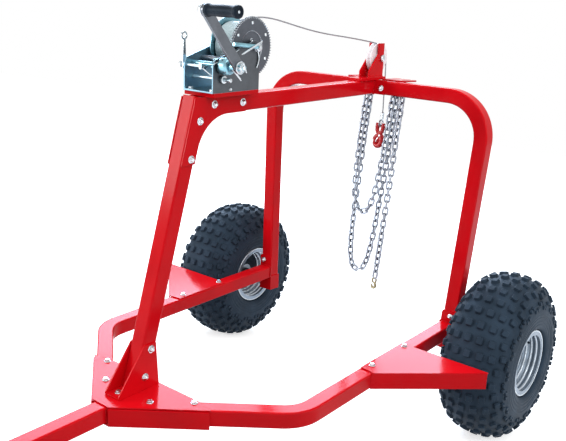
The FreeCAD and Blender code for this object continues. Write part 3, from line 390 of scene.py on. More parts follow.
    def relief(self, height: bpy.types.NodeSocket, depth: float, strength: float = 1.0,
               normal: Optional[bpy.types.NodeSocket] = None) -> bpy.types.NodeSocket:
        """Bump the surface.

        Args:
            height: relief, 0 to 1.
            depth: its depth in millimetres.
            strength: share of it that shows.
            normal: normal to start from.

        Returns:
            The bumped normal.
        """
        made = self.node("ShaderNodeBump")
        self.fill(made, {"Distance": depth * MM, "Strength": strength})
        self.join(height, made.inputs["Height"])
        if normal is not None:
            self.join(normal, made.inputs["Normal"])
        return made.outputs["Normal"]


@dataclass(frozen=True)
class Finish:
    """A surface finish: what every material here starts from."""

    title: str
    colour: Rgb
    roughness: float = 0.4
    metallic: float = 0.0
    gloss: float = 0.5

    def build(self) -> bpy.types.Material:
        """Make the material the first time, and hand out the same one afterwards.

        Returns:
            The material.
        """
        made = bpy.data.materials.get(self.title)
        if made is None:
            shader = Shader(self.title)
            shader.fill(shader.surface, {"Base Color": (*self.colour, 1.0), "Roughness": self.roughness,
                                         "Metallic": self.metallic, "Specular IOR Level": self.gloss})
            self.dress(shader)
            made = shader.material
        return made

    def dress(self, shader: Shader) -> None:
        """Add what the plain shader lacks; a plain finish adds nothing."""

    def shade(self, factor: float) -> Rgb:
        """The finish's colour, lighter or darker."""
        return tuple(min(1.0, part * factor) for part in self.colour)

    def dull(self, shader: Shader, value: bpy.types.NodeSocket, less: float, more: float) -> None:
        """Let the roughness wander with a noise.

        Args:
            shader: the material's.
            value: the noise.
            less: how far it falls below the finish's own roughness.
            more: how far it rises above it.
        """
        shader.into("Roughness", shader.span(value, shader.NOISE_LOW, shader.NOISE_HIGH,
                                             self.roughness - less, self.roughness + more))


@dataclass(frozen=True)
class PowderCoat(Finish):
    """Glossy powder coat: faint orange peel, clouds of tone, soft rounded edges."""

    edge: float = 2.0
    peel: float = 0.03

    def dress(self, shader: Shader) -> None:
        """Vary the tone and the gloss, round the edges and add the peel.

        Args:
            shader: the material's.
        """
        drift = shader.grain(scale=7.0, detail=3.0)
        specks = shader.grain(scale=160.0)
        tone = shader.clouds(drift, self.shade(0.92), self.shade(1.05))
        shader.into("Base Color", shader.over(tone, self.shade(0.7), specks, (0.62, 0.78), (0.0, 0.18)))
        self.dull(shader, drift, less=0.03, more=0.05)
        rounded = shader.rounded(self.edge)
        shader.into("Normal", shader.relief(shader.grain(scale=420.0), self.peel, 0.5, rounded))


@dataclass(frozen=True)
class ZincPlate(Finish):
    """Zinc plated steel: cloudy passivation, spangle, drawn scratches, painted highlights on sharp edges, painted
    shade in hollows.
    """

    tint: Rgb = (0.2, 0.36, 0.44)
    tinted: float = 0.35
    # Width in millimetres of the rounded edges and of their painted highlight
    edge: float = 0.8
    # Reach in millimetres of the painted shade in hollows
    hollow: float = 14.0
    # Colour of the painted highlight on sharp edges
    bright: Rgb = (0.62, 0.7, 0.74)
    spangle: Pair = (0.85, 1.12)

    def dress(self, shader: Shader) -> None:
        """Lay clouds of tint over the plate, paint highlights on its edges and shade into its hollows.

        Args:
            shader: the material's.
        """
        drift = shader.grain(scale=26.0, detail=4.0, rough=0.6)
        spangle = shader.span(shader.cells(scale=240.0), 0.0, 1.0, *self.spangle)
        scratches = shader.grain(scale=60.0, detail=3.0, rough=0.6, stretch=(14.0, 1.0, 1.0))
        rounded = shader.rounded(self.edge)
        plate = shader.over(self.colour, self.tint, drift, (0.35, 0.62), (0.0, self.tinted))
        plate = shader.over(plate, self.shade(1.9), spangle, self.spangle, (0.0, 0.16))
        # Painted shade: darker in the hollows
        plate = shader.over(plate, self.shade(0.3), shader.hollow_shade(self.hollow), (0.35, 0.95), (0.62, 0.0))
        # Painted highlight: paler on the sharp edges
        plate = shader.over(plate, self.bright, shader.edges(rounded), (0.0, 1.0), (0.0, 0.8))
        shader.into("Base Color", plate)
        self.dull(shader, drift, less=0.06, more=0.1)
        shader.into("Normal", shader.relief(scratches, 0.05, 0.4, rounded))


@dataclass(frozen=True)
class FoldedPlate(ZincPlate):
    """The winch frame's plate: grey on the near cheek's face, and a painted reflection of the sky, a blue tint, inside
    and on its fittings.
    """

    face: float = 58.0
    # Colour of the painted reflection of the sky
    blue: Rgb = (0.26, 0.45, 0.56)
    fade: Pair = (0.6, 1.2)

    def dress(self, shader: Shader) -> None:
        """Dress the plate, and paint a blue reflection on it away from the near cheek's outer face.

        Args:
            shader: the material's.
        """
        super().dress(shader)
        plain = shader.surface.inputs["Base Color"].links[0].from_socket
        parts = shader.node("ShaderNodeSeparateXYZ")
        shader.join(shader.place, parts.inputs["Vector"])
        away = shader.node("ShaderNodeMath", operation="SUBTRACT")
        away.inputs[1].default_value = self.face * MM
        shader.join(parts.outputs["X"], away.inputs[0])
        apart = shader.node("ShaderNodeMath", operation="ABSOLUTE")
        shader.join(away.outputs["Value"], apart.inputs[0])
        near, far = (distance * MM for distance in self.fade)
        # Painted reflection: blue away from the near cheek's outer face
        shader.into("Base Color", shader.over(plain, self.blue, apart.outputs["Value"], (near, far), (0.0, 0.8)))


@dataclass(frozen=True)
class Rubber(Finish):
    """Moulded rubber: a bluish tint to its gloss, dust specks, a painted highlight on sharp edges and painted shade in
    hollows.
    """

    # Colour of the dust specks, and of the painted highlight on sharp edges
    dust_and_edge_highlight: Rgb = (0.03, 0.036, 0.046)
    # Reach in millimetres of the painted shade in hollows
    hollow: float = 16.0
    edge: float = 1.2
    sheen: Rgb = (0.5, 0.74, 1.0)

    def dress(self, shader: Shader) -> None:
        """Paint a highlight on the sharp edges and shade into the hollows, scatter dust and give the skin its grain.

        Args:
            shader: the material's.
        """
        drift = shader.grain(scale=14.0, detail=4.0)
        skin = shader.grain(scale=900.0, detail=3.0, rough=0.6)
        rounded = shader.rounded(self.edge)
        tone = shader.clouds(drift, self.shade(0.8), self.shade(1.25))
        tone = shader.over(tone, self.dust_and_edge_highlight, shader.grain(scale=120.0, detail=3.0), (0.56, 0.74), (0.0, 0.3))
        # Painted shade: darker in the hollows
        tone = shader.over(tone, self.shade(0.22), shader.hollow_shade(self.hollow), (0.4, 0.95), (0.75, 0.0))
        # Painted highlight: paler on the sharp edges, in the dust's colour
        tone = shader.over(tone, self.dust_and_edge_highlight, shader.edges(rounded), (0.2, 1.0), (0.0, 0.35))
        shader.fill(shader.surface, {"Specular Tint": (*self.sheen, 1.0)})
        shader.into("Base Color", tone)
        self.dull(shader, skin, less=0.08, more=0.1)
        shader.into("Normal", shader.relief(skin, 0.12, 0.6, rounded))


@dataclass(frozen=True)
class SilverPaint(Finish):
    """Silver paint on pressed steel: fine flake, a little road dust, rounded folds."""

    edge: float = 1.5

    def dress(self, shader: Shader) -> None:
        """Scatter the flake and dull the paint in clouds.

        Args:
            shader: the material's.
        """
        flake = shader.cells(scale=1600.0)
        drift = shader.grain(scale=18.0, detail=4.0)
        rounded = shader.rounded(self.edge)
        tone = shader.over(self.shade(0.88), self.shade(1.15), flake, (0.0, 1.0), (0.0, 0.35))
        tone = shader.over(tone, self.shade(0.6), drift, (0.5, 0.75), (0.0, 0.3))
        shader.into("Base Color", tone)
        self.dull(shader, drift, less=0.05, more=0.12)
        shader.into("Normal", shader.relief(flake, 0.02, 0.3, rounded))


@dataclass(frozen=True)
class Strand(Finish):
    """Steel wire rope: bright wires with oily dirt between them, and painted shade in the hollows."""

    # Colour of the oily dirt between the wires, and of the painted shade in hollows
    dirt_and_hollow_shade: Rgb = (0.03, 0.03, 0.032)
    hollow: float = 2.0

    def dress(self, shader: Shader) -> None:
        """Dirty the valleys between the wires, and paint shade into the hollows.

        Args:
            shader: the material's.
        """
        wires = shader.grain(scale=1400.0, stretch=(0.4, 1.0, 1.0))
        tone = shader.clouds(wires, self.dirt_and_hollow_shade, self.colour, 0.4, 0.62)
        # Painted shade: darker in the hollows
        tone = shader.over(tone, self.dirt_and_hollow_shade, shader.hollow_shade(self.hollow), (0.3, 0.9), (0.8, 0.0))
        shader.into("Base Color", tone)
        shader.into("Normal", shader.relief(wires, 0.15, 0.7))


RED_PAINT = PowderCoat("red powder coat", (0.6, 0.0035, 0.008), 0.14, 0.0, 0.06)
WELD_PAINT = PowderCoat("red powder coat on weld", (0.54, 0.003, 0.007), 0.2, 0.0, 0.08, edge=0.6, peel=0.2)
# Each zinc plate below paints a highlight on its sharp edges, in its bright colour, and shade into its hollows
ZINC = ZincPlate("grey zinc plate", (0.125, 0.135, 0.152), 0.34, 1.0, tint=(0.17, 0.185, 0.205))
CHEEK_ZINC = FoldedPlate("zinc plate of the winch frame", (0.082, 0.09, 0.1), 0.36, 1.0, tint=(0.12, 0.13, 0.143))
# The gear's wide edge widens the painted highlight on its teeth
GEAR_ZINC = ZincPlate("zinc plate of the gear", (0.088, 0.096, 0.112), 0.38, 1.0, edge=2.4, tint=(0.12, 0.13, 0.15),
                     bright=(0.75, 0.8, 0.85))
# Teal copy of the zinc plate for the drum, the crank's shaft and housing and the keeper bar: a painted reflection of
# the sky
SKY_TINTED_ZINC = ZincPlate("blue zinc plate", (0.17, 0.33, 0.39), 0.28, 1.0, tint=(0.28, 0.5, 0.57), tinted=0.7)
ROD_ZINC = ZincPlate("zinc plate of the rods", (0.46, 0.56, 0.61), 0.3, 0.9, tint=(0.55, 0.7, 0.75), hollow=5.0)
BRIGHT_ZINC = ZincPlate("bright zinc plate", (0.5, 0.54, 0.57), 0.24, 1.0, tint=(0.6, 0.66, 0.7), hollow=5.0,
                        bright=(0.9, 0.92, 0.95))
CHAIN_ZINC = ZincPlate("zinc plated chain", (0.25, 0.27, 0.31), 0.22, 0.95, tint=(0.4, 0.44, 0.5), edge=0.4,
                       hollow=12.0, bright=(0.8, 0.83, 0.88))
SHEAVE_ZINC = ZincPlate("pale zinc plate", (0.86, 0.83, 0.86), 0.35, 0.1, tint=(0.88, 0.85, 0.88), hollow=2.0,
                        bright=(0.9, 0.9, 0.92))
YELLOW_ZINC = ZincPlate("yellow zinc plate", (0.22, 0.19, 0.12), 0.32, 0.9, tint=(0.32, 0.27, 0.15), hollow=6.0,
                        bright=(0.7, 0.58, 0.3))
# Both rubbers paint shade into their hollows and a highlight on their sharp edges
TYRE_RUBBER = Rubber("tyre rubber", (0.019, 0.031, 0.048), 0.6, 0.0, 0.2, hollow=6.0)
GRIP_RUBBER = Rubber("grip rubber", (0.003, 0.005, 0.009), 0.5, 0.0, 0.2, dust_and_edge_highlight=(0.02, 0.026, 0.036), hollow=4.0)
# Two copies of one silver paint: the rim's darker one is painted shade, the pressed rings' paler one is painted
# highlight
RIM_SHADED_PAINT = SilverPaint("silver rim paint", (0.22, 0.27, 0.33), 0.3, 0.6)
RIM_RING_HIGHLIGHT = SilverPaint("silver paint of the pressed rings", (0.72, 0.79, 0.86), 0.26, 0.5)
WIRE = Strand("wire rope steel", (0.52, 0.54, 0.57), 0.38, 0.8, dirt_and_hollow_shade=(0.14, 0.145, 0.155))
# Paler, bluer copy of the rope's steel for the turns on the drum: a painted reflection of the sky
SKY_LIT_WOUND_WIRE = Strand("wire rope on the drum", (0.6, 0.7, 0.73), 0.36, 0.5, dirt_and_hollow_shade=(0.22, 0.3, 0.32))
HOOK_PAINT = PowderCoat("red hook paint", (0.5, 0.008, 0.012), 0.22, 0.0, 0.35, edge=0.8, peel=0.06)
# A dark colour that stands for the shade in a hole: painted shade
HOLE_SHADE = Finish("dark hollow", (0.01, 0.02, 0.025), 0.7)


# ---------------------------------------------------------------- shaping
def axes(place: Iterable[float], x: Vector, y: Vector) -> Matrix:
    """Frame with given axes.

    Args:
        place: its origin.
        x: its X axis.
        y: its Y axis, square to X.

    Returns:
        The frame's matrix.
    """
    made = Matrix((x, y, x.cross(y))).transposed().to_4x4()
    made.translation = Vector(place)
    return made


def about(place: Point) -> Matrix:
    """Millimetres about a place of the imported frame, Z up, turned into packed metres."""
    return Matrix.Translation(place) @ Matrix.Scale(MM, 4)


def round_turn(steps: int) -> list[Pair]:
    """Cosine and sine at even steps round a turn."""
    return [(math.cos(TURN * i / steps), math.sin(TURN * i / steps)) for i in range(steps)]


def finer(outline: Profile, parts: int) -> list[Pair]:
    """Cut each step of an outline into parts.

    Args:
        outline: its points.
        parts: how many to each step.

    Returns:
        The finer outline, its last point kept.
    """
    cut = [(a + (b - a) * i / parts, ra + (rb - ra) * i / parts)
           for (a, ra), (b, rb) in zip(outline, outline[1:]) for i in range(parts)]
    return cut + [outline[-1]]


def domed(base: float, height: float, radius: float) -> list[Pair]:
    """Half outline of a dome on a flat base.

    Args:
        base: place of the base along X.
        height: the dome's.
        radius: the base's.

    Returns:
        The outline, as (along X, radius).
    """
    angles = [math.radians(degrees) for degrees in range(0, 90, 15)]
    rise = [(base + height * math.sin(angle), radius * math.cos(angle)) for angle in angles]
    return [(base, 0), *rise, (base + height, 0)]


def facing(place: Iterable[float], along: Iterable[float], turn: float = 0.0) -> Matrix:
    """Frame whose X axis points along a direction.

    Args:
        place: its origin.
        along: direction of X.
        turn: degrees to turn it about X.

    Returns:
        The frame's matrix.
    """
    x = Vector(along).normalized()
    y = Vector((0, 0, 1)).cross(x)
    y = y.normalized() if y.length > UPRIGHT else Vector((0, 1, 0)).cross(x).normalized()
    return axes(place, x, y) @ Matrix.Rotation(math.radians(turn), 4, "X")


def arc_through(a: Sequence[float], b: Sequence[float], c: Sequence[float], steps: int) -> list[Pair]:
    """Points on the circle through three points, from the first to the last.

    Args:
        a: first point.
        b: a point between.
        c: last point.
        steps: how many parts.

    Returns:
        The points, ends included.
    """
    (ax, ay), (bx, by), (cx, cy) = a, b, c
    aa, bb, cc = ax * ax + ay * ay, bx * bx + by * by, cx * cx + cy * cy
    double_area = 2 * (ax * (by - cy) + bx * (cy - ay) + cx * (ay - by))
    ux = (aa * (by - cy) + bb * (cy - ay) + cc * (ay - by)) / double_area
    uy = (aa * (cx - bx) + bb * (ax - cx) + cc * (bx - ax)) / double_area
    radius = math.hypot(ax - ux, ay - uy)
    start = math.atan2(ay - uy, ax - ux)
    sweep = (math.atan2(cy - uy, cx - ux) - start + math.pi) % TURN - math.pi
    angles = [start + sweep * i / steps for i in range(steps + 1)]
    return [(ux + radius * math.cos(angle), uy + radius * math.sin(angle)) for angle in angles]


def smooth_line(points: Sequence[Iterable[float]], resolution: int = 16, closed: bool = False) -> list[Vector]:
    """Points along the smooth NURBS line that a route's points control.

    Args:
        points: the route's points.
        resolution: steps for each point.
        closed: whether the line comes back to its start.

    Returns:
        The line's points.
    """
    curve = bpy.data.curves.new("line", "CURVE")
    curve.dimensions = "3D"
    curve.resolution_u = resolution
    spline = curve.splines.new("NURBS")
    spline.points.add(len(points) - 1)
    for target, source in zip(spline.points, points):
        target.co = (*source, 1.0)
    spline.order_u = 3
    spline.use_endpoint_u = not closed
    spline.use_cyclic_u = closed
    carrier = bpy.data.objects.new("line", curve)
    bpy.context.scene.collection.objects.link(carrier)
    bpy.context.view_layer.update()
    mesh = bpy.data.meshes.new_from_object(carrier.evaluated_get(bpy.context.evaluated_depsgraph_get()))
    line = [vertex.co.copy() for vertex in mesh.vertices]
    bpy.data.objects.remove(carrier)
    bpy.data.curves.remove(curve)
    bpy.data.meshes.remove(mesh)
    return line


def evenly(line: Sequence[Vector], step: float) -> list[Vector]:
    """Points an even step apart along a line, its ends kept.

    Args:
        line: points of the line.
        step: distance wanted between them.

    Returns:
        The spaced points.
    """
    lengths = [0.0]
    for a, b in zip(line, line[1:]):
        lengths.append(lengths[-1] + (b - a).length)
    count = max(1, round(lengths[-1] / step))
    spaced, index = [], 0
    for number in range(count + 1):
        goal = lengths[-1] * number / count
        while index < len(line) - 2 and lengths[index + 1] < goal:
            index += 1
        part = (goal - lengths[index]) / max(NO_LENGTH, lengths[index + 1] - lengths[index])
        spaced.append(line[index].lerp(line[index + 1], min(1.0, part)))
    return spaced


def along_line(line: Sequence[Vector], closed: bool = False) -> list[Matrix]:
    """Frames that travel along a line without twisting, X ahead.

    Args:
        line: points of the line.
        closed: whether it comes back to its start.

    Returns:
        One frame for each point.
    """
    frames, side = [], None
    last = len(line) - 1
    for index, point in enumerate(line):
        before = line[index - 1] if index or closed else point
        after = line[(index + 1) % len(line)] if index < last or closed else point
        ahead = (after - before).normalized()
        if side is None:
            side = Vector((0, 1, 0)) if abs(ahead.y) < ALONG else Vector((1, 0, 0))
        side = (side - ahead * side.dot(ahead)).normalized()
        frames.append(axes(point, ahead, side))
    return frames


class Mould:
    """Grows the mesh of one piece, shape by shape, and turns it into an object."""

    # Steps of the smooth line for each point that controls a bar, and the radius below which a ring is a tip
    LINE_STEPS = 8
    TIP = 1e-6

    def __init__(self, name: str, space: Optional[Matrix] = None) -> None:
        """Start an empty piece.

        Args:
            name: the piece's name.
            space: what turns its millimetres into packed metres; the level frame's by default.
        """
        self.name = name
        self.space = STANCE.matrix() if space is None else space
        self.shell = bmesh.new()

    def loft(self, rings: Sequence[Sequence[Vector]], looped: bool = False) -> None:
        """Skin a row of rings with the same number of points; a ring of one point is a tip.

        Args:
            rings: the rings.
            looped: whether the last joins the first; if not, both ends are closed.
        """
        made = [[self.shell.verts.new(point) for point in ring] for ring in rings]
        pairs = list(zip(made, made[1:])) + ([(made[-1], made[0])] if looped else [])
        for a, b in pairs:
            count = max(len(a), len(b))
            for i in range(count):
                j = (i + 1) % count
                corners = [a[i % len(a)], a[j % len(a)], b[j % len(b)], b[i % len(b)]]
                unique = list(dict.fromkeys(corners))
                if len(unique) > 2:
                    self.shell.faces.new(unique)
        if not looped:
            for end in (made[0], made[-1]):
                if len(end) > 2:
                    self.shell.faces.new(end)

    def lathe(self, profile: Profile, place: Matrix, steps: int = 32, looped: bool = False) -> None:
        """Turn a profile about the X axis of a frame.

        Args:
            profile: points as (along X, radius).
            place: the frame.
            steps: parts round the turn.
            looped: whether the profile is a closed outline.
        """
        turn = round_turn(steps)
        self.loft([[place @ Vector((along, 0, 0))] if radius < self.TIP else
                   [place @ Vector((along, radius * c, radius * s)) for c, s in turn]
                   for along, radius in profile], looped)

    def sweep(self, frames: Sequence[Matrix], radii: Sequence[float], steps: int = 10, flat: float = 1.0,
              looped: bool = False) -> None:
        """Run a round or oval section along frames.

        Args:
            frames: frames along the line, X ahead.
            radii: radius at each frame.
            steps: points in the section.
            flat: height of the section over its width.
            looped: whether the line is closed.
        """
        turn = round_turn(steps)
        self.loft([[place @ Vector((0, radius * c, flat * radius * s)) for c, s in turn]
                   for place, radius in zip(frames, radii)], looped)

    def bar(self, points: Sequence[Iterable[float]], radius: float, steps: int = 10, spacing: float = 4.0,
            closed: bool = False) -> None:
        """Round bar on the smooth line of a few points.

        Args:
            points: what controls the line.
            radius: the bar's.
            steps: points in the section.
            spacing: distance between rings.
            closed: whether it is a ring.
        """
        line = evenly(smooth_line(points, self.LINE_STEPS, closed), spacing)
        self.sweep(along_line(line, closed), [radius] * len(line), steps, looped=closed)

    def forge(self, points: Sequence[Iterable[float]], radius: Callable[[float], float], steps: int = 14,
              spacing: float = 2.5, flat: float = 1.0) -> None:
        """Bar on the smooth line of a few points, thicker in some places than in others.

        Args:
            points: what controls the line.
            radius: gives the radius at a share of the way along.
            steps: points in the section.
            spacing: distance between rings.
            flat: height of the section over its width.
        """
        line = evenly(smooth_line(points, self.LINE_STEPS), spacing)
        last = len(line) - 1
        self.sweep(along_line(line), [radius(number / last) for number in range(last + 1)], steps, flat)

    def finish(self, look: Finish, body: Body, slot: Slot, crease: float = 35.0,
               bevel: float = 0.0) -> bpy.types.Object:
        """Close the mesh and hang the piece on its body.

        Args:
            look: its finish.
            body: the body that it rides on.
            slot: the record's slot of its finish; not used.
            crease: degrees above which an edge stays sharp.
            bevel: width of the bevel on its edges, in millimetres.

        Returns:
            The piece.
        """
        bmesh.ops.recalc_face_normals(self.shell, faces=self.shell.faces[:])
        self.shell.transform(self.space)
        mesh = bpy.data.meshes.new(self.name)
        self.shell.to_mesh(mesh)
        self.shell.free()
        mesh.materials.append(look.build())
        mesh.polygons.foreach_set("use_smooth", [True] * len(mesh.polygons))
        mesh.set_sharp_from_angle(angle=math.radians(crease))
        piece = bpy.data.objects.new(self.name, mesh)
        bpy.context.scene.collection.objects.link(piece)
        if bevel:
            rounding = piece.modifiers.new("rounded edges", "BEVEL")
            rounding.width, rounding.segments, rounding.limit_method = bevel * MM, 2, "ANGLE"
        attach(piece, body.value)
        LOG.info("%-26s %6d faces, rides on %s", self.name, len(mesh.polygons), body.value)
        return piece


# ---------------------------------------------------------------- fastenings and welds
@dataclass(frozen=True)
class Fastener:
    """Head or nut with six flats.  Each kind gives the outlines that are turned to make it."""

    flats: float = 15.0

    def outlines(self, corner: float) -> Sequence[tuple[Profile, int]]:
        """Outlines of the kind, each with its parts round the turn.

        Args:
            corner: radius over the corners of the six flats.

        Returns:
            The outlines, as (out from the seat, radius).
        """
        raise NotImplementedError

    def fit(self, mould: Mould, place: Iterable[float], out: Iterable[float], turn: float = 0.0) -> None:
        """Seat it.

        Args:
            mould: the piece it belongs to.
            place: centre of its seat.
            out: direction that it stands out in.
            turn: degrees to turn it.
        """
        seat = facing(place, out, turn)
        for profile, steps in self.outlines(self.flats / math.sqrt(3)):
            mould.lathe(profile, seat, steps)


@dataclass(frozen=True)
class FlangeBolt(Fastener):
    """Head of a flanged hexagon bolt."""

    flats: float = 14.0
    height: float = 7.0
    flange: float = 10.5

    def outlines(self, corner: float) -> Sequence[tuple[Profile, int]]:
        """Flange, and a head with a dished top.

        Args:
            corner: radius over the corners of the six flats.

        Returns:
            The outlines.
        """
        edge, top = self.flange, self.height
        return (([(-0.5, 0), (-0.5, edge), (0.8, edge), (2.0, 0.84 * edge), (2.2, 0)], 28),
                ([(1.6, 0), (1.6, corner), (top - 1.3, corner), (top, 0.84 * corner), (top - 0.4, 0.5 * corner),
                  (top - 0.4, 0)], HEXAGON))


@dataclass(frozen=True)
class DomeNut(Fastener):
    """Domed nut on a washer."""

    washer: float = 11.5
    dome: float = 6.6

    def outlines(self, corner: float) -> Sequence[tuple[Profile, int]]:
        """Washer, flats and dome.

        Args:
            corner: radius over the corners of the six flats.

        Returns:
            The outlines.
        """
        return (([(-0.5, 0), (-0.5, self.washer), (1.2, self.washer), (1.6, self.washer - 0.6), (1.6, 0)], 28),
                ([(1.5, 0), (1.5, corner), (4.2, corner), (5.2, 0.88 * corner), (5.2, 0)], HEXAGON),
                (domed(5.0, self.dome, self.dome), 24))


@dataclass(frozen=True)
class LockNut(Fastener):
    """Lock nut on a washer, with the end of its bolt showing."""

    thread: float = 4.4

    def outlines(self, corner: float) -> Sequence[tuple[Profile, int]]:
        """Washer, flats, and the collar with the bolt's end.

        Args:
            corner: radius over the corners of the six flats.

        Returns:
            The outlines.
        """
        return (([(-0.5, 0), (-0.5, 10.5), (1.0, 10.5), (1.4, 9.9), (1.4, 0)], 24),
                ([(1.3, 0), (1.3, 0.9 * corner), (2.3, corner), (7.5, corner), (8.3, 0.85 * corner), (8.3, 0)],
                 HEXAGON),
                ([(8.0, 0), (8.0, 6.4), (10.4, 6.0), (10.4, self.thread), (12.4, self.thread),
                  (13.0, self.thread - 0.8), (13.0, 0)], 20))


@dataclass(frozen=True)
class WeldBead:
    """Rippled bead of weld along a line of points."""

    radius: float = 2.8
    ripple: float = 3.4
    rings: int = 3

    def lay(self, mould: Mould, points: Sequence[Point]) -> None:
        """Run the bead, thin at both ends.

        Args:
            mould: the piece it belongs to.
            points: corners of its line.
        """
        line = evenly([Vector(point) for point in points], self.ripple / self.rings)
        radii = [self.radius * (0.86 + 0.2 * abs(math.sin(math.pi * i / self.rings)) + 0.1 * noise.noise(point * 0.11))
                 for i, point in enumerate(line)]
        radii[0] = radii[-1] = 0.5 * self.radius
        mould.sweep(along_line(line), radii, 8)


@dataclass(frozen=True)
class SplitPin:
    """Split pin: a long bright leg with its eye, bent from one wire."""

    wire: float

    def fit(self, mould: Mould, start: Point, end: Point) -> None:
        """Put the pin in.

        Args:
            mould: the piece it belongs to.
            start: the eye's end.
            end: the leg's end.
        """
        a, b = Vector(start), Vector(end)
        ahead = (b - a).normalized()
        side = ahead.cross(Vector((1, 0, 0))).normalized() * 2.2 * self.wire
        mould.bar([a + side * 0.2, a + ahead * 5 + side * 0.4, b], self.wire, 8)
        mould.bar([a, a - ahead * 4 + side, a - ahead * 8, a - ahead * 4 - side, a + ahead * 4 - side * 0.4,
                   b - ahead * 6 - side * 0.5], self.wire, 8)


@dataclass(frozen=True)
class FrameFastenings:
    """Bolts, nuts and welds that hold the red frame together."""

    plate_bolts: Sequence[Point] = ((188, -1063, 74), (-188, -1063, 74), (96, -1144, 74), (-96, -1144, 74),
                                    (423, -324, 74), (-423, -324, 74), (422.5, -517, 74), (-422.5, -517, 74),
                                    (-4, -1173, 79))
    side_bolts: Sequence[Point] = ((30, -1080, 192), (30, -1104, 113), (29, -834, 869), (29, -713.5, 866),
                                   (29, -891, 826), (29, -925, 721))
    front_bolts: Sequence[Point] = ((54.5, 4.5, 862), (-54.5, 4.5, 862), (437, -34, 93.5), (-437, -34, 93.5))
    middle_beads: Sequence[Sequence[Point]] = (
        ((-25.5, 5.5, 887), (-25.5, 4.5, 838), (25.5, 4.5, 838), (25.5, 5.5, 887)),
        ((26, -58, 889), (26, -44, 889)))
    paired_beads: Sequence[Sequence[Point]] = (
        ((23, -27, 898.5), (23, 60, 898.5)), ((34, 42.5, 889), (116, 42.5, 889)), ((26, -1241, 68), (26, -1241, 22)),
        ((398.5, -34, 24), (398.5, -34, 71), (452, -34, 71)))

    def build(self) -> None:
        """Make the bolts and the welds."""
        self.bolts()
        self.welds()

    def bolts(self) -> bpy.types.Object:
        """Set every bolt and nut of the frame, each turned its own way.

        Returns:
            The piece.
        """
        mould = Mould("frame_bolts")
        for number, place in enumerate(self.plate_bolts):
            FlangeBolt().fit(mould, place, (0, 0, 1), 17 * number)
        for number, (x, y, z) in enumerate(self.side_bolts):
            DomeNut().fit(mould, (x, y, z), (1, 0, 0), 11 * number)
            LockNut().fit(mould, (-x, y, z), (-1, 0, 0), 23 * number)
        for number, place in enumerate(self.front_bolts):
            DomeNut(14, 10.5, 6.2).fit(mould, place, (0, -1, 0.04), 19 * number)
        return mould.finish(BRIGHT_ZINC, Body.FRAME, Slot.ZINC)

    def welds(self) -> bpy.types.Object:
        """Run every bead of the frame.

        Returns:
            The piece.
        """
        mould, bead = Mould("frame_welds"), WeldBead()
        for line in self.middle_beads:
            bead.lay(mould, line)
        for side in (1, -1):
            for line in self.paired_beads:
                bead.lay(mould, [(side * x, y, z) for x, y, z in line])
        return mould.finish(WELD_PAINT, Body.FRAME, Slot.RED, 60)


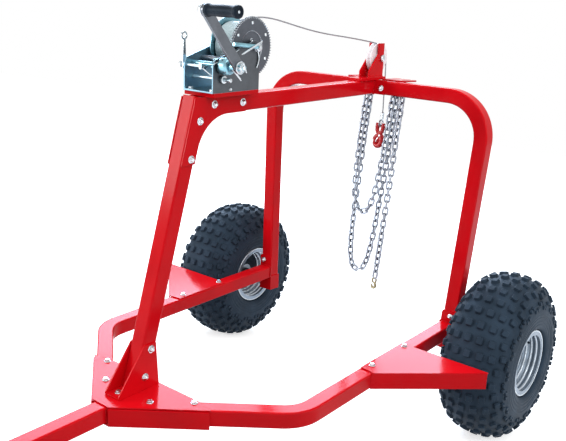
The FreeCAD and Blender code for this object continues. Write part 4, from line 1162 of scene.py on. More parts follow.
# ---------------------------------------------------------------- wheels
@dataclass
class Tyre:
    """Low-pressure off-road tyre: a round carcass with staggered square knobs."""

    side: Side
    track: float = HALF_TRACK
    # The half outline, as (offset, radius) from the middle of the crown down to the bead
    crown: float = 290.0
    crown_edge: Pair = (70.0, 277.0)
    widest: Pair = (120.0, 212.0)
    shoulder: Pair = (100.5, 250.0)
    wall: Pair = (119.8, 170.0)
    fold: Pair = (118.6, 133.0)
    heel: Pair = (114.8, 124.0)
    foot: Pair = (105.5, 119.5)
    bead: float = 102.4
    # The carcass, in even steps along the outline: its floor rises to the wall, which has thin ribs
    tread: float = 9.0
    floor_end: float = 186.0
    floor_rise: float = 44.0
    skin: float = 1.2
    steps: int = 72
    ribs: Sequence[int] = (55, 58, 62, 65)
    rib: float = 1.2
    # The knobs: rows round the tyre, and places across it along the outline
    rows: int = 36
    first_row: float = 19.5
    pitch: float = 42.0
    stagger: Sequence[float] = (1.0, -12.0, -25.0, -12.0)
    outermost: float = 141.0
    knob: Pair = (10.6, 11.6)
    corner: float = 2.6
    wall_knobs: Sequence[Pair] = ((152.0, 5.2), (170.0, 3.6))
    wall_knob: Pair = (6.4, 8.5)
    # Outer knobs lag behind in radians, and get lower: beyond what distance, over what run, and by how much
    lag: Triple = (80.0, 60.0, 0.05)
    drop: Triple = (90.0, 50.0, 2.5)
    # Parts of the crown's half, the shoulder, the wall and the heel
    arc_parts: tuple[int, int, int, int] = (20, 24, 18, 10)
    outer: list[Pair] = field(init=False, repr=False)

    def __post_init__(self) -> None:
        """Work out the half outline, from the middle of the crown to the bead."""
        left, (half, *parts) = (-self.crown_edge[0], self.crown_edge[1]), self.arc_parts
        crown = arc_through(left, (0, self.crown), self.crown_edge, 2 * half)[half:]
        shoulder = arc_through(self.crown_edge, self.shoulder, self.widest, parts[0])
        wall = arc_through(self.widest, self.wall, self.fold, parts[1])
        heel = arc_through(self.fold, self.heel, self.foot, parts[2])
        self.outer = crown + shoulder[1:] + wall[1:] + heel[1:]

    def surface(self, distance: float, depth: float) -> Pair:
        """Point of the section under the outline.

        Args:
            distance: along the outline from the middle of the crown, negative inboard.
            depth: below it.

        Returns:
            Offset from the wheel's middle and radius.
        """
        left = abs(distance)
        for (ax, ar), (bx, br) in zip(self.outer, self.outer[1:]):
            run = math.hypot(bx - ax, br - ar)
            if left <= run:
                break
            left -= run
        part, nx, nr = left / run, (ar - br) / run, (bx - ax) / run
        offset = ax + (bx - ax) * part - depth * nx
        return math.copysign(1, distance) * offset, ar + (br - ar) * part - depth * nr

    def place(self, distance: float, angle: float, depth: float) -> Vector:
        """Level point on the tyre, the angle in radians up from the front."""
        offset, radius = self.surface(distance, depth)
        return Vector((self.side.value * (self.track + offset), -radius * math.cos(angle), radius * math.sin(angle)))

    def knob_at(self, mould: Mould, distance: float, angle: float, halves: Pair,
                height: float) -> None:
        """Raise one knob with chamfered corners and flared sides.

        Args:
            mould: the tyre's piece.
            distance: of its middle along the outline.
            angle: of its middle.
            halves: half its size across and round the tyre.
            height: above the carcass.
        """
        rings = []
        # Depth below the outline, and what the half sizes gain: buried foot, side, edge of the top, top
        for depth, grow in ((height + 1.5, 2.0), (height - 0.5, 0.9), (1.0, 0.0), (0.0, -1.2)):
            w, l = halves[0] + grow, (halves[1] + grow) / self.crown
            cut_w, cut_l = w - self.corner, l - self.corner / self.crown
            corners = [(w, -cut_l), (w, cut_l), (cut_w, l), (-cut_w, l),
                       (-w, cut_l), (-w, -cut_l), (-cut_w, -l), (cut_w, -l)]
            rings.append([self.place(distance + a, angle + b, depth) for a, b in corners])
        mould.loft(rings)

    def carcass(self, mould: Mould) -> None:
        """Turn the carcass: a tread floor below the knobs, ribbed walls and the bead.

        Args:
            mould: the tyre's piece.
        """
        total = sum(math.hypot(bx - ax, br - ar) for (ax, ar), (bx, br) in zip(self.outer, self.outer[1:]))
        half = []
        for number in range(self.steps + 1):
            distance = total * number / self.steps
            sunk = self.tread * min(1.0, max(0.0, (self.floor_end - distance) / self.floor_rise))
            half.append(self.surface(distance, sunk + self.skin - (self.rib if number in self.ribs else 0.0)))
        half.append((self.foot[0] - 0.2, self.bead))
        section = [(-x, r) for x, r in reversed(half)] + half[1:]
        mould.lathe(section, facing((self.side.value * self.track, 0, 0), (1, 0, 0)), 96, looped=True)

    def beyond(self, distance: float, rule: Triple) -> float:
        """What a rule of (start, run, amount) gives at a distance along the outline."""
        start, run, amount = rule
        return amount * max(0.0, (abs(distance) - start) / run)

    def tread_row(self, mould: Mould, row: int) -> None:
        """Raise one row of knobs across the tread; the outer ones lag behind and get lower.

        Args:
            mould: the tyre's piece.
            row: its number.
        """
        angle = math.radians(self.first_row + 360 * row / self.rows)
        start = self.stagger[row % len(self.stagger)]
        reach = int(self.outermost // self.pitch) + 1
        for column in range(-reach, reach + 1):
            distance = start + self.pitch * column
            if abs(distance) <= self.outermost:
                lag, drop = self.beyond(distance, self.lag), self.beyond(distance, self.drop)
                self.knob_at(mould, distance, angle + lag, self.knob, self.tread - drop)

    def wall_row(self, mould: Mould, row: int) -> None:
        """Raise the small knobs on both walls that go with a row, by turns half a row late.

        Args:
            mould: the tyre's piece.
            row: its number.
        """
        angle = math.radians(self.first_row + 360 * row / self.rows)
        for sign in (1, -1):
            for number, (distance, height) in enumerate(self.wall_knobs):
                late = math.radians(180 / self.rows) * ((row + number) % 2)
                self.knob_at(mould, sign * distance, angle + late, self.wall_knob, height)

    def build(self) -> bpy.types.Object:
        """Make the tyre.

        Returns:
            The piece, which stands for the plain ring.
        """
        mould = Mould(f"tyre_tread_{self.side.word}")
        self.carcass(mould)
        for row in range(self.rows):
            self.tread_row(mould, row)
            self.wall_row(mould, row)
        tyre = mould.finish(TYRE_RUBBER, self.side.wheel, Slot.RUBBER, 28)
        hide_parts(f"tyre_{self.side.word}")
        return tyre


@dataclass(frozen=True)
class WheelTrim:
    """What is on a rim: rolled lips, pressed rings, nuts and the valve."""

    side: Side
    track: float = HALF_TRACK
    # Rings as (offset, radius, radius of their section): those on both sides, then those of the outer face
    paired_rings: Sequence[Triple] = ((106.6, 114.2, 2.6), (93, 99.4, 4.0), (76, 98.8, 4.4), (60, 91.6, 4.4),
                                     (45, 86.2, 4.0))
    face_rings: Sequence[Triple] = ((27.0, 74, 3.0), (27.0, 38, 2.2))
    stud_circle: float = 55.0
    studs: int = 4
    nut_face: float = 28.0
    # The valve's stem, from one (offset, radius) to another at one angle
    valve_foot: Pair = (84, 95)
    valve_end: Pair = (118, 88)
    valve_angle: float = 108.0

    def at(self, offset: float, radius: float, angle: float) -> Vector:
        """Level point at an offset outboard, a radius and an angle in degrees."""
        a = math.radians(angle)
        return Vector((self.side.value * (self.track + offset), radius * math.cos(a), radius * math.sin(a)))

    def ring(self, mould: Mould, offset: float, radius: float, section: float) -> None:
        """Run a round ring about the axle."""
        middle = facing((self.side.value * (self.track + offset), 0, 0), (1, 0, 0))
        mould.lathe([(section * c, radius + section * s) for c, s in round_turn(10)], middle, 72, looped=True)

    def build(self) -> None:
        """Make the rings, the nuts and the valve."""
        self.rings()
        self.nuts()
        self.valve()

    def rings(self) -> bpy.types.Object:
        """Press the rings.

        Returns:
            The piece.
        """
        mould = Mould(f"rim_rings_{self.side.word}")
        for sign in (1, -1):
            for offset, radius, section in self.paired_rings:
                self.ring(mould, sign * offset, radius, section)
        for ring in self.face_rings:
            self.ring(mould, *ring)
        # The pressed rings take the paler copy of the silver paint: a painted highlight
        return mould.finish(RIM_RING_HIGHLIGHT, self.side.wheel, Slot.RIM, 50)

    def nuts(self) -> bpy.types.Object:
        """Put the nuts on the studs.

        Returns:
            The piece.
        """
        mould = Mould(f"wheel_nuts_{self.side.word}")
        for number in range(self.studs):
            seat = self.at(self.nut_face, self.stud_circle, 45 + 360 / self.studs * number)
            LockNut(17, 5.4).fit(mould, seat, (self.side.value, 0, 0), 20 * number)
        return mould.finish(BRIGHT_ZINC, self.side.wheel, Slot.ZINC)

    def valve(self) -> bpy.types.Object:
        """Fit the valve.

        Returns:
            The piece.
        """
        mould = Mould(f"valve_{self.side.word}")
        foot, end = self.at(*self.valve_foot, self.valve_angle), self.at(*self.valve_end, self.valve_angle)
        mould.lathe([(-8, 0), (-8, 6.5), (-2, 6.5), (3, 4.8), (15, 4.2), (15.5, 3.0), (20, 3.0), (20, 3.8), (28, 3.8),
                     (29.5, 2.8), (29.5, 0)], facing(foot, end - foot), 16)
        return mould.finish(GRIP_RUBBER, self.side.wheel, Slot.GRIP)


# ---------------------------------------------------------------- winch
@dataclass(frozen=True)
class WinchTrim:
    """Small pieces of the winch: rivets, pins, nuts, the keeper bar and the cable's clamp."""

    drum: Pair = DRUM_AXIS
    crank: Pair = (-838.2, 980.0)
    # Faces across the winch, and the top of its base
    cheek: float = 58.0
    gear_face: float = 44.0
    flange_face: float = -43.8
    base: float = 908.0
    nut_end: float = 137.0
    # Rivets round the drum's axis: how many, on the gear's circle and on the far flange's
    rivets: int = 6
    gear_circle: float = 69.0
    flange_circle: float = 40.0
    keeper: tuple[Point, Point] = ((67, -800, 1038.4), (70, -704, 1029))
    # Nuts: where the drum shaft's near one sits, how far its far one stands off the far cheek, and the rod's, with X
    # from that cheek
    near_nut: float = 66.0
    far_nut: float = 8.0
    rod_nut: Point = (-16, -861, 975)
    # The spacer outside the near cheek: its axis, its collar's face and its end
    spacer: Pair = (-836, 942)
    spacer_faces: Pair = (5.6, 31)
    pawl_pin: Point = (11.5, -858, 971)
    oil_hole: Point = (76, -853.8, 998.0)
    stop_bolt: Pair = (-802, 912)
    base_bolt_places: Sequence[Pair] = ((42, -858), (-42, -858), (42, -706), (-42, -706))
    keeper_pin: tuple[Point, Point] = ((80, -700, 1042), (76, -776, 1010))
    # Split pins of the crank's nut: wire, eye and leg, from the crank's axis
    crank_pins: Sequence[tuple[float, Point, Point]] = ((1.5, (113, -8, -10), (112, 22, -37)),
                                                        (1.3, (144, -4, 10), (146, 6, -12)))
    # Bent wires on the near cheek, each with its radius
    wires: Sequence[tuple[float, Sequence[Point]]] = (
        (2.0, ((60, -690, 1018), (61.5, -683, 1000), (61.5, -686, 982), (60, -692, 968))),
        (1.6, ((60, -872, 985), (61, -820, 1004), (60, -770, 1022))),
        (1.3, ((12, -866, 970), (30, -862, 958), (52, -858, 946))))

    def build(self) -> None:
        """Make every small piece of the winch."""
        self.gear_rivets()
        self.keeper_bar()
        self.nuts()
        self.pins()
        self.oil_hole_shade()
        self.crank_nut()
        self.crank_bush()
        self.base_bolts()

    def rivet_places(self, face: float, circle: float) -> list[Point]:
        """Places of the rivets on a face, round a circle about the drum's axis."""
        (y, z), angles = self.drum, [math.radians(30 + 360 * number / self.rivets) for number in range(self.rivets)]
        return [(face, y + circle * math.cos(a), z + circle * math.sin(a)) for a in angles]

    def gear_rivets(self) -> bpy.types.Object:
        """Rivets of the gear and of the far flange, and the eye of the cable's clamp above the gear's shaft.

        Returns:
            The piece.
        """
        mould, (y, z) = Mould("gear_rivets"), self.drum
        for place in self.rivet_places(self.gear_face - 0.3, self.gear_circle):
            mould.lathe([(0, 0), (0, 5.2), (1.4, 4.8), (2.6, 3.2), (3.0, 0)], facing(place, (1, 0, 0)), 18)
        clamp = facing((self.gear_face - 2.7, y, z + 20), (1, 0, 0))
        mould.lathe([(0, 2.6), (0, 5.4), (1.3, 5.2), (1.6, 4.4), (0.4, 2.6)], clamp, 20, looped=True)
        for place in self.rivet_places(self.flange_face, self.flange_circle):
            mould.lathe([(0, 0), (0, 4.4), (1.4, 4.0), (2.4, 0)], facing(place, (-1, 0, 0)), 16)
        return mould.finish(BRIGHT_ZINC, Body.DRUM, Slot.ZINC)

    def keeper_bar(self) -> bpy.types.Object:
        """Keeper bar along the near cheek's top, with its collar.

        Returns:
            The piece.
        """
        mould, (start, end) = Mould("winch_keeper_bar"), map(Vector, self.keeper)
        length = (end - start).length
        mould.lathe([(0, 0), (0, 5.4), (1, 6.4), (length - 12, 6.4), (length - 10, 7.6), (length - 1, 7.6),
                     (length, 6.6), (length, 0)], facing(start, end - start), 24)
        return mould.finish(SKY_TINTED_ZINC, Body.FRAME, Slot.ZINC)

    def nuts(self) -> bpy.types.Object:
        """Nuts on the drum's shaft and the rods, and the ends of the spacer and of the pawl's pin.

        Returns:
            The piece.
        """
        mould, (y, z) = Mould("winch_nuts"), self.drum
        collar, tip = (facing((self.cheek + face, *self.spacer), (1, 0, 0)) for face in self.spacer_faces)
        rod_x, rod_y, rod_z = self.rod_nut
        LockNut(21, 6.0).fit(mould, (self.near_nut, y, z), (1, 0, 0), 12)
        mould.lathe([(0, 5.2), (0, 11), (3.6, 11), (4.2, 10), (4.2, 5.2)], collar, 24, looped=True)
        mould.lathe([(0, 0), (0, 5.5), (1.2, 6.0), (3.0, 5.6), (3.6, 0)], tip, 20)
        LockNut().fit(mould, (rod_x - self.cheek, rod_y, rod_z), (-1, 0, 0), 5)
        LockNut(19, 6.0).fit(mould, (-self.cheek - self.far_nut, y, z), (-1, 0, 0), 5)
        mould.lathe([(0, 0), (0, 6.2), (1.6, 6.0), (2.4, 0)], facing(self.pawl_pin, (1, 0, 0)), 16)
        return mould.finish(BRIGHT_ZINC, Body.FRAME, Slot.ZINC)

    def pins(self) -> bpy.types.Object:
        """Keeper bar's split pin and the bent wires.

        Returns:
            The piece.
        """
        mould = Mould("winch_split_pins")
        SplitPin(1.6).fit(mould, *self.keeper_pin)
        for radius, points in self.wires:
            mould.bar(points, radius)
        return mould.finish(BRIGHT_ZINC, Body.FRAME, Slot.ZINC, 50)

    def oil_hole_shade(self) -> bpy.types.Object:
        """Painted shade of the oil hole on top of the crank's housing: a dark disc.

        Returns:
            The piece.
        """
        mould = Mould("winch_oil_hole_shade")
        mould.lathe([(0, 0), (0, 3.4), (0.5, 3.0), (0.6, 0)], facing(self.oil_hole, (0, -0.66, 0.75)), 18)
        return mould.finish(HOLE_SHADE, Body.FRAME, Slot.ZINC)

    def crank_nut(self) -> bpy.types.Object:
        """Domed nut and washer on the crank's end, with their split pins.

        Returns:
            The piece.
        """
        mould, (y, z) = Mould("crank_nut"), self.crank
        seat = facing((self.nut_end - 10.2, y, z), (1, 0, 0))
        mould.lathe([(0, 8.2), (0, 17.5), (2.4, 17.5), (3.2, 16.4), (3.2, 8.2)], seat, 32, looped=True)
        mould.lathe([(3, 8.1), (3, 13.4), (9.6, 13.4), (10.6, 12.0), (10.6, 8.1)], seat, HEXAGON, looped=True)
        mould.lathe(domed(10.2, 8, 9.6), seat, 28)
        for wire, *ends in self.crank_pins:
            SplitPin(wire).fit(mould, *[(across, y + behind, z + above) for across, behind, above in ends])
        return mould.finish(BRIGHT_ZINC, Body.CRANK, Slot.ZINC)

    def crank_bush(self) -> bpy.types.Object:
        """Round housing over the crank's bush.

        Returns:
            The piece.
        """
        mould, (y, z) = Mould("winch_crank_housing"), self.crank
        mould.lathe([(0, 18.1), (0, 21.0), (2, 23.2), (9, 24), (24, 24), (31, 22.6), (35, 20.2), (35.6, 18.1)],
                    facing((self.cheek + 0.4, y, z), (1, 0, 0)), 48, looped=True)
        return mould.finish(SKY_TINTED_ZINC, Body.FRAME, Slot.ZINC, 50)

    def base_bolts(self) -> bpy.types.Object:
        """Bolts that hold the winch down.

        Returns:
            The piece.
        """
        mould = Mould("winch_base_bolts")
        for number, (x, y) in enumerate(self.base_bolt_places):
            FlangeBolt(13, 6.5, 10).fit(mould, (x, y, self.base), (0, 0, 1), 13 * number)
        FlangeBolt(8, 4.5, 5).fit(mould, (self.cheek, *self.stop_bolt), (1, 0, 0), 8)
        return mould.finish(BRIGHT_ZINC, Body.FRAME, Slot.ZINC)


@dataclass(frozen=True)
class Grip:
    """Moulded grip of the crank, flared at both ends."""

    axis: Pair = (-970.5, 1132.7)
    start: float = 127.0
    length: float = 114.0
    radius: float = 17.0

    def build(self) -> None:
        """Make the grip and its end bolt."""
        seat = facing((self.start, *self.axis), (1, 0, 0))
        self.moulding(seat)
        self.bolt(seat)

    def moulding(self, seat: Matrix) -> bpy.types.Object:
        """Mould the grip, its wall finer than its dished end.

        Args:
            seat: frame at its inner end, X along it.

        Returns:
            The piece, which stands for the plain grip.
        """
        r, end = self.radius, self.length
        wall = [(0.4, r - 2), (2, r - 0.4), (4, r), (10, r - 0.3), (14, r - 1.8), (20, r - 2.6), (end / 2, r - 1.3),
                (end - 22, r - 2.4), (end - 15, r - 1.6), (end - 11, r - 0.2), (end - 4, r), (end - 1.5, r - 0.6),
                (end - 0.3, r - 2.6)]
        dish = [(end - 0.3, r - 6), (end - 2.2, r - 7), (end - 2.2, 0)]
        mould = Mould("crank_grip_moulded")
        mould.lathe([(0.4, 0), *finer(wall, 3), *dish], seat, 40)
        grip = mould.finish(GRIP_RUBBER, Body.CRANK, Slot.GRIP, 45)
        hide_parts("crank_grip")
        return grip

    def bolt(self, seat: Matrix) -> bpy.types.Object:
        """Turn the bolt's end in the dish, and the boss that the grip turns on.

        Args:
            seat: frame at the grip's inner end, X along it.

        Returns:
            The piece.
        """
        mould, end = Mould("crank_grip_bolt"), self.length
        mould.lathe([(end - 3, 0), (end - 3, 4), (end - 1.8, 3.6), (end - 1.4, 2.5), (end - 1.2, 0)], seat, 24)
        mould.lathe([(-21, 0), (-21, 10.0), (-19.5, 13.6), (-16, 16.0), (-12, 16.8), (-8, 16.8), (-7, 16.2),
                     (-6.9, 0)], seat, 36)
        return mould.finish(BRIGHT_ZINC, Body.CRANK, Slot.ZINC)


@dataclass(frozen=True)
class WoundCable:
    """Turns of the cable on the drum, one beside the other on the layers below."""

    axis: Pair = DRUM_AXIS
    start: float = -40.3
    end: float = 33.3
    outside: float = 70.0
    core: float = 24.0
    cable: float = 5.0
    steps: int = 44
    wander: float = 0.35

    def build(self) -> bpy.types.Object:
        """Make the turns, on a plain sleeve that stands for the layers below.

        Returns:
            The piece, which stands for the plain ring.
        """
        mould, seat = Mould("wound_cable_turns"), facing((0, *self.axis), (1, 0, 0))
        half, below, width = self.cable / 2, self.outside - self.cable, self.end - self.start - self.cable
        mould.lathe([(self.start + 1, self.core), (self.start + 1, below), (self.end - 1, below),
                     (self.end - 1, self.core)], seat, 64, looped=True)
        count, rings = int(width / self.cable) * self.steps, []
        for number in range(count + 1):
            a = TURN * number / self.steps
            lay = self.start + half + width * number / count
            lay += self.wander * noise.noise(Vector((lay * 0.3, math.cos(a), math.sin(a))))
            out = Vector((0, math.cos(a), math.sin(a)))
            middle = Vector((lay, (self.outside - half) * math.cos(a), (self.outside - half) * math.sin(a)))
            rings.append([seat @ (middle + half * (out * s + Vector((c, 0, 0)))) for c, s in round_turn(8)])
        mould.loft(rings)
        # The turns take the paler, bluer copy of the rope's steel: a painted reflection
        wound = mould.finish(SKY_LIT_WOUND_WIRE, Body.DRUM, Slot.ROPE, 70)
        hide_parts("wound_cable")
        return wound


# ---------------------------------------------------------------- coupling and sheave
@dataclass(frozen=True)
class CouplingTrim:
    """Bolts through the coupling's sleeve, the handle's pivot and its coated tip."""

    ball: float = -1900.0
    half: float = 29.0
    bolts: Sequence[float] = (80, 135)
    bolt_height: float = 45.0
    pivot: Point = (7, 25, 79)
    # The tip: (distance ahead of its end, half width, half height) from its root on, round the handle's height
    tip_end: float = 120.0
    handle: float = 88.0
    tip: Sequence[Triple] = ((-46, 9.4, 4.4), (-44, 10.4, 5.4), (-30, 10.8, 5.8),
                                                 (-12, 10.8, 5.8), (1, 10.0, 5.2), (3, 7.0, 3.0))
    squareness: float = 0.6

    def build(self) -> None:
        """Make the fastenings and the tip."""
        self.fastenings()
        self.handle_tip()

    def fastenings(self) -> bpy.types.Object:
        """Bolts and nuts through the sleeve, and the ends of the handle's pivot.

        Returns:
            The piece.
        """
        mould, (x, y, z) = Mould("coupling_bolts"), self.pivot
        for number, behind in enumerate(self.bolts):
            FlangeBolt(16, 8, 12).fit(mould, (self.half, self.ball + behind, self.bolt_height), (1, 0, 0),
                                      9 + 20 * number)
            LockNut(16, 5).fit(mould, (-self.half, self.ball + behind, self.bolt_height), (-1, 0, 0), 14 * number)
        for sign in (1, -1):
            mould.lathe([(-0.5, 0), (-0.5, 6), (1.6, 5.4), (2.2, 0)],
                        facing((sign * x, self.ball + y, z), (sign, 0, 0)), 20)
        return mould.finish(BRIGHT_ZINC, Body.FRAME, Slot.ZINC)

    def squared(self, value: float) -> float:
        """Cosine or sine of a rounded rectangle, from that of a circle."""
        return math.copysign(abs(value) ** self.squareness, value)

    def handle_tip(self) -> bpy.types.Object:
        """Soft tip dipped over the handle.

        Returns:
            The piece.
        """
        mould, end = Mould("coupling_handle_tip"), self.ball + self.tip_end
        mould.loft([[Vector((w * self.squared(c), end + y, self.handle + h * self.squared(s)))
                     for c, s in round_turn(24)] for y, w, h in self.tip])
        return mould.finish(GRIP_RUBBER, Body.FRAME, Slot.GRIP, 50)


@dataclass(frozen=True)
class SheaveTrim:
    """Domed ends of the sheave's pin."""

    axis: Pair = (47.0, 964.0)
    head: float = 29.0

    def build(self) -> bpy.types.Object:
        """Make the domed heads over the pin's ends.

        Returns:
            The piece.
        """
        mould = Mould("sheave_pin_caps")
        for sign in (1, -1):
            seat = facing((sign * (self.head - 0.6), *self.axis), (sign, 0, 0))
            mould.lathe([(0, 0), (0, 11.6), (1.6, 10.4), (2.8, 7.0), (3.2, 0)], seat, 28)
        return mould.finish(BRIGHT_ZINC, Body.FRAME, Slot.ZINC)


# ---------------------------------------------------------------- cable, chains and hooks
# Routes of what hangs free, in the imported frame's metres: what controls each smooth line
CABLE_ROUTE = ((0, -0.058253, 1.261), (0, -0.018253, 1.274), (0, 0.029747, 1.2855), (0, 0.087747, 1.29),
               (0, 0.152747, 1.2885), (0, 0.217747, 1.286), (0, 0.287747, 1.2845), (0, 0.355747, 1.2855),
               (0, 0.423747, 1.2885), (0, 0.491747, 1.2925), (0, 0.557747, 1.2955), (0, 0.617747, 1.2975),
               (0, 0.667747, 1.2985), (0, 0.715747, 1.299), (0, 0.755747, 1.28), (0.001, 0.771747, 1.237),
               (0.003, 0.778747, 1.186), (0.007, 0.782747, 1.122), (0.014, 0.783747, 1.054))
SMALL_LOOP = ((-0.058, 0.766747, 1.185), (-0.058, 0.766747, 1.05), (-0.056, 0.766747, 0.91),
              (-0.051, 0.767747, 0.8), (-0.043, 0.767747, 0.735), (-0.033, 0.767747, 0.698),
              (-0.017, 0.767747, 0.674), (0.015, 0.767747, 0.671), (0.031, 0.767747, 0.696),
              (0.041, 0.767747, 0.734), (0.05, 0.766747, 0.802), (0.056, 0.766747, 0.915),
              (0.058, 0.766747, 1.055), (0.058, 0.766247, 1.185))
LARGE_LOOP = ((-0.058, 0.795747, 1.188), (-0.059, 0.795747, 1.02), (-0.057, 0.796747, 0.86),
              (-0.054, 0.796747, 0.7), (-0.048, 0.796747, 0.57), (-0.04, 0.796747, 0.502),
              (-0.029, 0.796747, 0.464), (-0.013, 0.796747, 0.441), (0.019, 0.796747, 0.443),
              (0.034, 0.796747, 0.468), (0.043, 0.796747, 0.51), (0.05, 0.796747, 0.578),
              (0.054, 0.795747, 0.7), (0.058, 0.795747, 0.86), (0.0585, 0.795747, 1.022),
              (0.058, 0.795747, 1.188))
CHAIN_TAIL = ((0.098, 0.767747, 1.185), (0.098, 0.767747, 1.05), (0.099, 0.769747, 0.89),
              (0.101, 0.770747, 0.74), (0.101, 0.771747, 0.585), (0.102, 0.771747, 0.436))


@dataclass(frozen=True)
class WireCable:
    """The winch's cable, strands laid round a core, over the sheave to its hook.  Sizes are in metres."""

    route: Sequence[Point] = CABLE_ROUTE
    length: float = 1.049
    diameter: float = 0.005
    strands: int = 6
    lay: float = 0.034
    # Radii of a strand and of the core as shares of the cable's, and the distance between rings
    strand_share: float = 0.36
    core_share: float = 0.55
    spacing: float = 0.0028

    def build(self, fittings: Sequence[bpy.types.Object]) -> bpy.types.Object:
        """Make the cable.

        Args:
            fittings: the pieces on its end; not used.

        Returns:
            The piece, which stands for the plain tube.
        """
        line = evenly(smooth_line(self.route), self.spacing)
        frames, section = along_line(line), round_turn(6)
        mould = Mould("winch_cable_strands", Matrix.Identity(4))
        radius = self.diameter / 2
        strand = radius * self.strand_share
        offset = radius - strand
        step = (line[1] - line[0]).length
        for number in range(self.strands):
            rings = []
            for index, place in enumerate(frames):
                a = TURN * (number / self.strands + index * step / self.lay)
                centre = Vector((0, offset * math.cos(a), offset * math.sin(a)))
                rings.append([place @ (centre + Vector((0, strand * c, strand * s))) for c, s in section])
            mould.loft(rings)
        mould.sweep(frames, [radius * self.core_share] * len(frames), len(section))
        cable = mould.finish(WIRE, Body.FRAME, Slot.ROPE, 60)
        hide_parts("winch_cable")
        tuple(self.route[0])
        return cable


@dataclass(frozen=True)
class LinkChain:
    """Zinc plated chain of welded links that hangs from the slotted plates.  Sizes are in metres."""

    name: str
    node: str
    route: Sequence[Point]
    length: float
    far_end: str
    sunk: float = 0.006
    wire: float = 0.0078
    width: float = 0.0268
    pitch: float = 0.0248
    diameter: float = 0.024
    path_step: float = 0.008
    # Degrees that the links turn away from square: a slow sway down the chain, its middle, and a little for each link
    sway: float = 26.0
    lean: float = -6.0
    stray: float = 14.0

    def link(self, mould: Mould, place: Matrix, pitch: float, corner: int = 6) -> None:
        """Bend one link in its frame's XY plane, long along X.

        Args:
            mould: the chain's piece.
            place: frame in the link's middle.
            pitch: distance to the next link.
            corner: steps of each rounded end.
        """
        radius = (self.width - self.wire) / 2
        straight = (pitch + self.wire) / 2 - radius
        rings, section = [], round_turn(8)
        for sign in (1, -1):
            for number in range(corner + 1):
                a = math.radians(-90 + 180 * number / corner)
                middle = Vector((sign * (straight + radius * math.cos(a)), sign * radius * math.sin(a), 0))
                out = Vector((sign * math.cos(a), sign * math.sin(a), 0))
                rings.append([place @ (middle + self.wire / 2 * (out * c + Vector((0, 0, s)))) for c, s in section])
        mould.loft(rings, looped=True)

    def turn(self, number: int) -> Matrix:
        """Turn of a link about the chain: each is square to the last, but for the sway.

        Args:
            number: the link's, from the top.

        Returns:
            The turn's matrix.
        """
        stray = self.stray * noise.noise(Vector((number * 0.7, 3.1, self.length)))
        degrees = 90 * (number % 2) + self.sway * math.sin(number * 0.31) + self.lean + stray
        return Matrix.Rotation(math.radians(degrees), 4, "X")

    def build(self, fittings: Sequence[bpy.types.Object] = ()) -> bpy.types.Object:
        """Make the chain.

        Args:
            fittings: the pieces on its end; not used.

        Returns:
            The piece, which stands for the plain tube.
        """
        top = self.route[0][2] - self.sunk
        line = [point for point in smooth_line(self.route) if point.z <= top]
        joints = evenly(line, self.pitch)
        mould = Mould(self.name, Matrix.Identity(4))
        for number, (a, b, frame_here) in enumerate(zip(joints, joints[1:], along_line(joints))):
            ahead, side = (b - a).normalized(), frame_here.col[1].to_3d()
            side = (side - ahead * side.dot(ahead)).normalized()
            self.link(mould, axes((a + b) / 2, ahead, side) @ self.turn(number), (b - a).length)
        chain = mould.finish(CHAIN_ZINC, Body.FRAME, Slot.CHAIN, 60)
        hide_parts(self.node)
        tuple(self.route[0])
        [tuple(point) for point in evenly(line, self.path_step)]
        return chain


